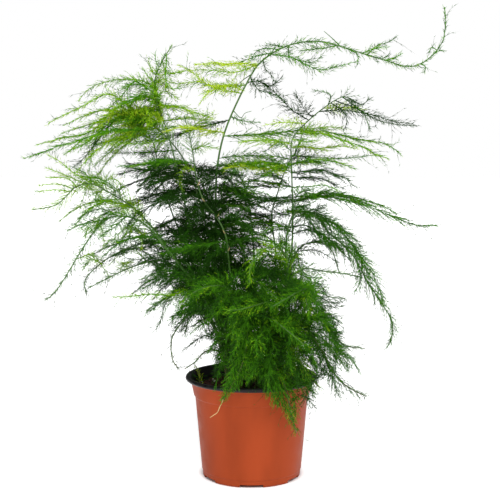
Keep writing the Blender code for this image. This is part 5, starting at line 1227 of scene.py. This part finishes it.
def lay_branch(heap, shape, branch, slot):
    """One tube bent along a branch. The map of needles' material holds tones; others are unrolled."""
    x, y, z = shape.corners.T
    places, _, normals, sides = branch.at(z * branch.length)
    radii = branch.radii[0] + (branch.radii[1] - branch.radii[0]) * z
    corners = places + radii[:, None] * (sides * x[:, None] + normals * y[:, None])
    if slot == NEEDLES:
        across, along = map_by_tone(shape, np.array([branch.tone]), TWIG_STRIP)
    else:
        across = (MAP_MARGIN + MAP_TONES * shape.heights)[None]
        along = (MAP_MARGIN + STALK_TURN * shape.turns)[None]
    heap.add(shape, corners[None], across, along, slot)


def lay_leaves(heap, needle, twigs, branch, chance, looks):
    """A branch's twigs and strays with their needles, and the needles straight on the branch."""
    per_mm, thickness = looks.needles_per_cm / 10.0, looks.needle_thickness / MM
    for wires, share in ((grow_twigs(branch, chance, looks), 1.0),
                         (grow_strays(branch, chance, looks), STRAY_NEEDLES)):
        lay_twigs(heap, twigs[0], wires.part(~wires.bent), NEEDLES)
        lay_twigs(heap, twigs[1], wires.part(wires.bent), NEEDLES)
        if len(wires.roots):
            lay_needles(heap, needle, needles_on(wires, chance, looks, per_mm * share), thickness, NEEDLES)
    lay_needles(heap, needle, needles_along(branch, chance, looks, per_mm), thickness, NEEDLES)


def drawn_sprays(name, stem):
    """A stem's long sprays, drawn from the front view, each from the stem's nearest point."""
    sprays = []
    for tone, twig, points in SPRAYS.get(name, ()):
        first, *rest = (seen(*point) for point in points)
        sprays.append(Branch([stem.nearest(first), *rest], SPRAY_RADII, tone, twig, plume=stem.plume))
    return sprays


def filling_sprays(name, stem, chance):
    """A stem's short sprays: in each zone as many as it bears there, where a try finds a place."""
    sprays = []
    for zone in ZONES:
        for _ in range(zone.counts.get(name, 0)):
            tries = (filling_spray(stem, zone, chance) for _ in range(FILLING_TRIES))
            sprays += [spray for spray in tries if spray][:1]
    return sprays


def filling_spray(stem, zone, chance):
    """A short spray out of a stem that ends in the zone, or None."""
    share = chance.uniform(*FILLING_START)
    start = stem.at(np.array([share * stem.length]))[0][0]
    turn = chance.uniform(0.0, math.tau)
    reach = chance.uniform(*zone.reach)
    out = np.array([math.cos(turn), math.sin(turn), 0.0]) * reach
    rise = chance.uniform(*FILLING_RISE)
    end = start + out + [0.0, 0.0, rise - reach * chance.uniform(*zone.drop)]
    middle = start + 0.5 * out + [0.0, 0.0, rise]
    if not (zone.spans(start) and zone.holds(middle) and zone.holds(end)):
        return None
    tone = zone.tone + chance.normal(0.0, 0.09)
    points = [start, start + 0.25 * out + [0.0, 0.0, 0.8 * rise], middle, end]
    return Branch(points, FILLING_RADII, tone, chance.uniform(*zone.twig))


# ---------------------------------------------------------------- sizes and colours to change

def length_of(name, description, metres):
    return FloatProperty(name=name, description=description, default=metres, unit="LENGTH")


def colour_of(name, description, colour):
    return FloatVectorProperty(name=name, description=description, subtype="COLOR", default=linear(colour))


def power_of(name, description, watts):
    return FloatProperty(name=name, description=description, default=watts, unit="POWER")


class PotLooks(bpy.types.PropertyGroup):
    """Sizes and colours of the pot."""
    spin_steps: IntProperty(name="Spin Steps", description="Steps round the pot's wall", default=96, min=48)
    corner_radius: length_of("Corner Radius", "Rounding of the moulded corners", 0.0005)
    colour: colour_of("Outer Colour", "Colour of the terracotta plastic", "#8a381a")
    lining_colour: colour_of("Lining Colour", "Colour of the black lining", "#0b0b0b")


class SoilLooks(bpy.types.PropertyGroup):
    """Sizes and colours of the soil."""
    crumbs: IntProperty(name="Crumbs", description="Loose crumbs of peat on the soil", default=1100, min=0)
    crumb_size: length_of("Crumb Size", "Width of a large crumb", 0.0026)
    fibres: IntProperty(name="Fibres", description="Coir threads on the soil", default=150, min=0)
    pellets: IntProperty(name="Pellets", description="White perlite pellets", default=16, min=0)
    seed: IntProperty(name="Seed", description="Changes where crumbs, threads and pellets lie", default=4)
    colour: colour_of("Soil Colour", "Colour of damp peat", "#33190f")
    fibre_colour: colour_of("Fibre Colour", "Colour of dry coir", "#6e3722")


class FernLooks(bpy.types.PropertyGroup):
    """Sizes and colours of the fern."""
    stem_foot_radius: length_of("Stem Radius", "Radius of a stem at the soil", 0.0012)
    needle_length: length_of("Needle Length", "Length of a full-grown needle", 0.0047)
    needle_thickness: length_of("Needle Thickness", "Width of a needle at its root", 0.00058)
    twig_spacing: length_of("Twig Spacing", "Distance from twig to twig", 0.00105)
    needles_per_cm: FloatProperty(name="Needles per Centimetre", description="Needles on a twig",
                                  default=4.4, min=1.0)
    droop: FloatProperty(name="Droop", description="How much the twigs hang", default=0.16, subtype="FACTOR")
    seed: IntProperty(name="Seed", description="Changes every random draw of the growth", default=7)
    # From dark to yellow green, these paint shade and light as well as the needles' age
    dark_green: colour_of("Dark Green", "Oldest, shaded needles", "#112504")
    deep_green: colour_of("Deep Green", "Old needles", "#235206")
    mid_green: colour_of("Mid Green", "Grown needles", "#4c8f0a")
    light_green: colour_of("Light Green", "Young needles", "#8fc014")
    yellow_green: colour_of("Yellow Green", "Youngest needles", "#bfd632")
    stem_green: colour_of("Stem Green", "Stems in the light", "#3e6420")
    stem_foot: colour_of("Stem Foot", "Stems at the soil", "#58562b")
    dry_colour: colour_of("Dry Stalk", "Dried stalk and scales", "#c7ad76")


class StudioLooks(bpy.types.PropertyGroup):
    """Sizes and colours of the studio."""
    floor_size: length_of("Floor Size", "Width of the floor", 14.0)
    floor_colour: colour_of("Floor Colour", "Colour of the studio paper", "#fbfbfb")
    air_strength: FloatProperty(name="Air Strength", description="Even light from all round", default=0.4)
    room_strength: FloatProperty(name="Room Strength", description="Light of the room that glosses mirror",
                                 default=0.12)
    # Strength of the paper's painted glow, which is no lamp
    glow: FloatProperty(name="Floor Glow", description="Light that the paper passes from below", default=0.62)
    key_power: power_of("Key Power", "Power of the large front light", 43.0)
    fill_power: power_of("Fill Power", "Power of each side light", 5.0)


# ---------------------------------------------------------------- operators

class FERN_OT_pot_wall(bpy.types.Operator):
    """Builds the pot's terracotta wall, collar and feet"""
    bl_idname = "fern.pot_wall"
    bl_label = "Pot Wall"

    def execute(self, context):
        looks = context.scene.fern_pot
        mesh = rounded_profile([*POT_OUTSIDE, *SHEET_MIDDLE], looks.corner_radius / MM, looks.spin_steps)
        piece = add_piece("pot_wall", mesh, [], replaces=["pot"])
        cut_notches(piece)
        # The cut gives the piece a new mesh, so its material comes after it
        piece.data.materials.clear()
        piece.data.materials.append(terracotta_polypropylene(looks))
        smooth_faces(piece)
        return {"FINISHED"}


class FERN_OT_pot_lining(bpy.types.Operator):
    """Builds the black lining, which rolls over the pot's lip"""
    bl_idname = "fern.pot_lining"
    bl_label = "Pot Lining"

    def execute(self, context):
        looks = context.scene.fern_pot
        profile = [*reversed(SHEET_MIDDLE), *LINING_EDGE, *LINING_INSIDE]
        mesh = rounded_profile(profile, LINING_ROUNDING, looks.spin_steps)
        piece = add_piece("pot_lining", mesh, [black_polypropylene(looks)], replaces=["pot"])
        smooth_faces(piece)
        return {"FINISHED"}


class FERN_OT_soil_bed(bpy.types.Operator):
    """Builds the soil's lumpy bed"""
    bl_idname = "fern.soil_bed"
    bl_label = "Soil Bed"

    def execute(self, context):
        looks = context.scene.fern_soil
        mesh = bmesh.new()
        line = [mesh.verts.new((radius * MM, 0.0, SOIL_TOP))
                for radius in np.arange(0.0, SOIL_RADIUS, RING_SPACING)]
        line += [mesh.verts.new((radius * MM, 0.0, z * MM)) for radius, z in SOIL_BELOW]
        edges = [mesh.edges.new(pair) for pair in zip(line, line[1:])]
        bmesh.ops.spin(mesh, geom=line + edges, cent=(0, 0, 0), axis=(0, 0, 1), angle=math.tau,
                       steps=SOIL_STEPS, use_merge=True)
        bmesh.ops.remove_doubles(mesh, verts=mesh.verts[:], dist=SAME_PLACE * MM)
        bmesh.ops.recalc_face_normals(mesh, faces=mesh.faces[:])
        for corner in mesh.verts:
            if corner.co.z > SOIL_TOP - MM:
                corner.co.z = soil_height(corner.co.x, corner.co.y)
        piece = add_piece("soil_bed", mesh, [peat_mix(looks)], replaces=["soil"])
        smooth_faces(piece, 60.0)
        return {"FINISHED"}


class FERN_OT_soil_crumbs(bpy.types.Operator):
    """Strews peat crumbs, coir threads and perlite pellets on the soil"""
    bl_idname = "fern.soil_crumbs"
    bl_label = "Soil Crumbs"

    def execute(self, context):
        looks = context.scene.fern_soil
        chance = np.random.default_rng(looks.seed)
        self.strew("peat_crumbs", peat_mix(looks), looks.crumbs, looks.crumb_size / MM, 0.25, 1, chance)
        self.strew("perlite_pellets", perlite(looks), looks.pellets, PELLET_SIZE, 0.55, 2, chance)
        self.lay_threads(looks, chance)
        return {"FINISHED"}

    def strew(self, name, material, count, size, smallest, level, chance):
        """Copies of a few pebbles at random places on the bed, the smallest given as a share."""
        shapes = [Shape(pebble(chance, level)) for _ in range(PEBBLE_SHAPES)]
        heap = Heap()
        for number in range(count):
            shape = shapes[number % PEBBLE_SHAPES]
            x, y = self.random_place(PEBBLE_REACH, chance)
            width = size * chance.uniform(smallest, 1.0) ** 1.5
            spin = np.array(Euler(chance.uniform(0, math.tau, 3)).to_matrix())
            place = np.array([x, y, soil_height(x * MM, y * MM) / MM + PEBBLE_LIFT * width])
            corners = (shape.corners * width * PEBBLE_SIDES) @ spin.T + place
            heap.add(shape, corners[None], shape.turns[None], 0.5 + 0.5 * shape.heights[None], 0)
        piece = add_piece(name, heap.to_mesh(name), [material], replaces=["soil"])
        smooth_faces(piece, 50.0)

    def random_place(self, reach, chance):
        """A place on the bed, every part of it as likely as another."""
        distance, turn = reach * math.sqrt(chance.uniform()), chance.uniform(0.0, math.tau)
        return distance * math.cos(turn), distance * math.sin(turn)

    def lay_threads(self, looks, chance):
        """Curled threads that lie on the bed."""
        shape, heap = tube_shape(*THREAD_TUBE), Heap()
        for _ in range(looks.fibres):
            x, y = self.random_place(THREAD_REACH, chance)
            way, points = chance.uniform(0.0, math.tau), []
            for _ in range(THREAD_POINTS):
                lift = chance.uniform(0.2, 1.6)
                points.append((x, y, soil_height(x * MM, y * MM) / MM + lift))
                step = chance.uniform(1.5, 4.5)
                x, y = x + step * math.cos(way), y + step * math.sin(way)
                way += chance.normal(0.0, 0.6)
            if math.hypot(x, y) < THREAD_LIMIT:
                lay_branch(heap, shape, Branch(points, THREAD_RADII, 0.5, 0), 0)
        add_piece("coir_threads", heap.to_mesh("coir_threads"), [coir_fibre(looks)], replaces=["soil"])


class FERN_OT_leafy_stems(bpy.types.Operator):
    """Grows every leafy stem with its sprays, twigs and needles"""
    bl_idname = "fern.leafy_stems"
    bl_label = "Leafy Stems"

    def execute(self, context):
        looks = context.scene.fern_fern
        needle, twigs = needle_shape(), (twig_shape(0), twig_shape(1))
        tubes = [tube_shape(*size) for size in (STEM_TUBE, SPRAY_TUBE, FILLING_TUBE)]
        materials = [waxy_needles(looks), wiry_stems(looks), dry_stalk(looks)]
        for number, (name, tone, foot, bare, twig, points) in enumerate(STEMS):
            chance = np.random.default_rng([looks.seed, number])
            places = [(*foot, STEM_START), (*foot, STEM_LEAVES_SOIL), *(seen(*point) for point in points)]
            radii = (looks.stem_foot_radius / MM, STEM_TIP)
            stem = Branch(places, radii, tone, twig, bare, name in PLUMES)
            drawn, filling = drawn_sprays(name, stem), filling_sprays(name, stem, chance)
            heap = Heap()
            for tube, slot, branches in zip(tubes, (STALK, NEEDLES, NEEDLES), ([stem], drawn, filling)):
                for branch in branches:
                    lay_branch(heap, tube, branch, slot)
                    if branch.twig:
                        lay_leaves(heap, needle, twigs, branch, chance, looks)
            if name in DRY_SHOOTS:
                dry_shoot = Branch([seen(*point) for point in DRY_SHOOTS[name]], DRY_RADII, 0.5, 0)
                lay_branch(heap, tubes[1], dry_shoot, DRY)
            if name in SCALES:
                roots = np.array([stem.nearest(seen(*point)) for point in SCALES[name]])
                count = len(roots)
                ways = unit(np.array([SCALE_WAYS[k % len(SCALE_WAYS)] for k in range(count)]))
                scales = (roots, ways, np.full(count, SCALE_LENGTH), np.full(count, 0.5))
                lay_needles(heap, needle, scales, SCALE_WIDTH, DRY)
            mesh = heap.to_mesh(name + "_foliage")
            add_piece(name + "_foliage", mesh, materials, replaces=[name])
        return {"FINISHED"}


class FERN_OT_studio(bpy.types.Operator):
    """Sets up the paper floor, the soft lights and the camera"""
    bl_idname = "fern.studio"
    bl_label = "Studio"

    def execute(self, context):
        looks = context.scene.fern_studio
        mesh = bmesh.new()
        bmesh.ops.create_grid(mesh, x_segments=2, y_segments=2, size=looks.floor_size / 2)
        floor = add_piece("studio_floor", mesh, [studio_paper(looks)], body=None)
        context.scene.world = self.studio_air(looks)
        self.add_light("key", (0.2, -1.3, 1.5), (1.1, 1.1), looks.key_power)
        self.add_light("left_strip", (-1.0, -1.1, 0.45), (0.35, 1.2), looks.fill_power)
        self.add_light("right_strip", (1.47, -0.31, 0.45), (0.35, 1.2), looks.fill_power)
        self.add_camera(context.scene)
        context.scene.view_settings.view_transform = "Standard"
        return {"FINISHED"}

    def studio_air(self, looks):
        """A world whose backdrop the camera sees as pure white, and whose light is even; glosses mirror a
        dark room, as between softboxes."""
        world = bpy.data.worlds.new("studio_air")
        world.use_nodes = True
        tree = world.node_tree
        tree.nodes.remove(tree.nodes["Background"])
        air, room, backdrop = (
            add_node(tree, "ShaderNodeBackground", {"Color": (1.0, 1.0, 1.0, 1.0), "Strength": strength})
            for strength in (looks.air_strength, looks.room_strength, 1.0))
        ray = add_node(tree, "ShaderNodeLightPath").outputs
        dim = add_node(tree, "ShaderNodeMixShader", links={
            0: ray["Is Glossy Ray"], 1: air.outputs["Background"], 2: room.outputs["Background"]})
        both = add_node(tree, "ShaderNodeMixShader", links={
            0: ray["Is Camera Ray"], 1: dim.outputs["Shader"], 2: backdrop.outputs["Background"]})
        tree.links.new(both.outputs["Shader"], tree.nodes["World Output"].inputs["Surface"])
        return world

    def add_camera(self, scene):
        """The camera at the front view's eye."""
        lens = bpy.data.cameras.new("camera")
        lens.sensor_width = SENSOR_WIDTH
        lens.lens = SENSOR_WIDTH * FOCAL_LENGTH
        lens.shift_x, lens.shift_y = EYE_SHIFTS
        lens.clip_end = 50.0
        camera = bpy.data.objects.new("camera", lens)
        camera.location = (0.0, -EYE_DISTANCE * MM, EYE_HEIGHT * MM)
        camera.rotation_euler = (math.radians(90.0 - EYE_TILT), 0.0, 0.0)
        scene.collection.objects.link(camera)
        scene.camera = camera

    def add_light(self, name, place, size, power):
        """A softbox of the given width and height, aimed at the fern's middle."""
        lamp = bpy.data.lights.new(name, "AREA")
        lamp.shape = "RECTANGLE"
        lamp.size, lamp.size_y = size
        lamp.energy = power
        item = bpy.data.objects.new(name, lamp)
        item.location = place
        item.rotation_euler = (Vector(place) - Vector((0, 0, 0.2))).to_track_quat("Z", "Y").to_euler()
        bpy.context.scene.collection.objects.link(item)


class FERN_PT_sidebar(bpy.types.Panel):
    """Lists the fern's operators and looks"""
    bl_label = "Potted Asparagus Fern"
    bl_idname = "FERN_PT_sidebar"
    bl_space_type = "VIEW_3D"
    bl_region_type = "UI"
    bl_category = "Fern"

    def draw(self, context):
        for operator in OPERATORS:
            self.layout.operator(operator.bl_idname)
        for group in LOOKS:
            looks = getattr(context.scene, group)
            box = self.layout.box()
            for name in LOOKS[group].__annotations__:
                box.prop(looks, name)


LOOKS = {"fern_pot": PotLooks, "fern_soil": SoilLooks, "fern_fern": FernLooks, "fern_studio": StudioLooks}
OPERATORS = (
    FERN_OT_pot_wall, FERN_OT_pot_lining, FERN_OT_soil_bed, FERN_OT_soil_crumbs, FERN_OT_leafy_stems,
    FERN_OT_studio)


def register():
    for group in LOOKS:
        bpy.utils.register_class(LOOKS[group])
        setattr(bpy.types.Scene, group, PointerProperty(type=LOOKS[group]))
    for item in (*OPERATORS, FERN_PT_sidebar):
        bpy.utils.register_class(item)


def unregister():
    for item in (FERN_PT_sidebar, *reversed(OPERATORS)):
        bpy.utils.unregister_class(item)
    for group in reversed(LOOKS):
        delattr(bpy.types.Scene, group)
        bpy.utils.unregister_class(LOOKS[group])


def main():
    register()
    bpy.ops.fern.pot_wall()
    bpy.ops.fern.pot_lining()
    bpy.ops.fern.soil_bed()
    bpy.ops.fern.soil_crumbs()
    bpy.ops.fern.leafy_stems()
    bpy.ops.fern.studio()


if __name__ == "__main__":
    main()
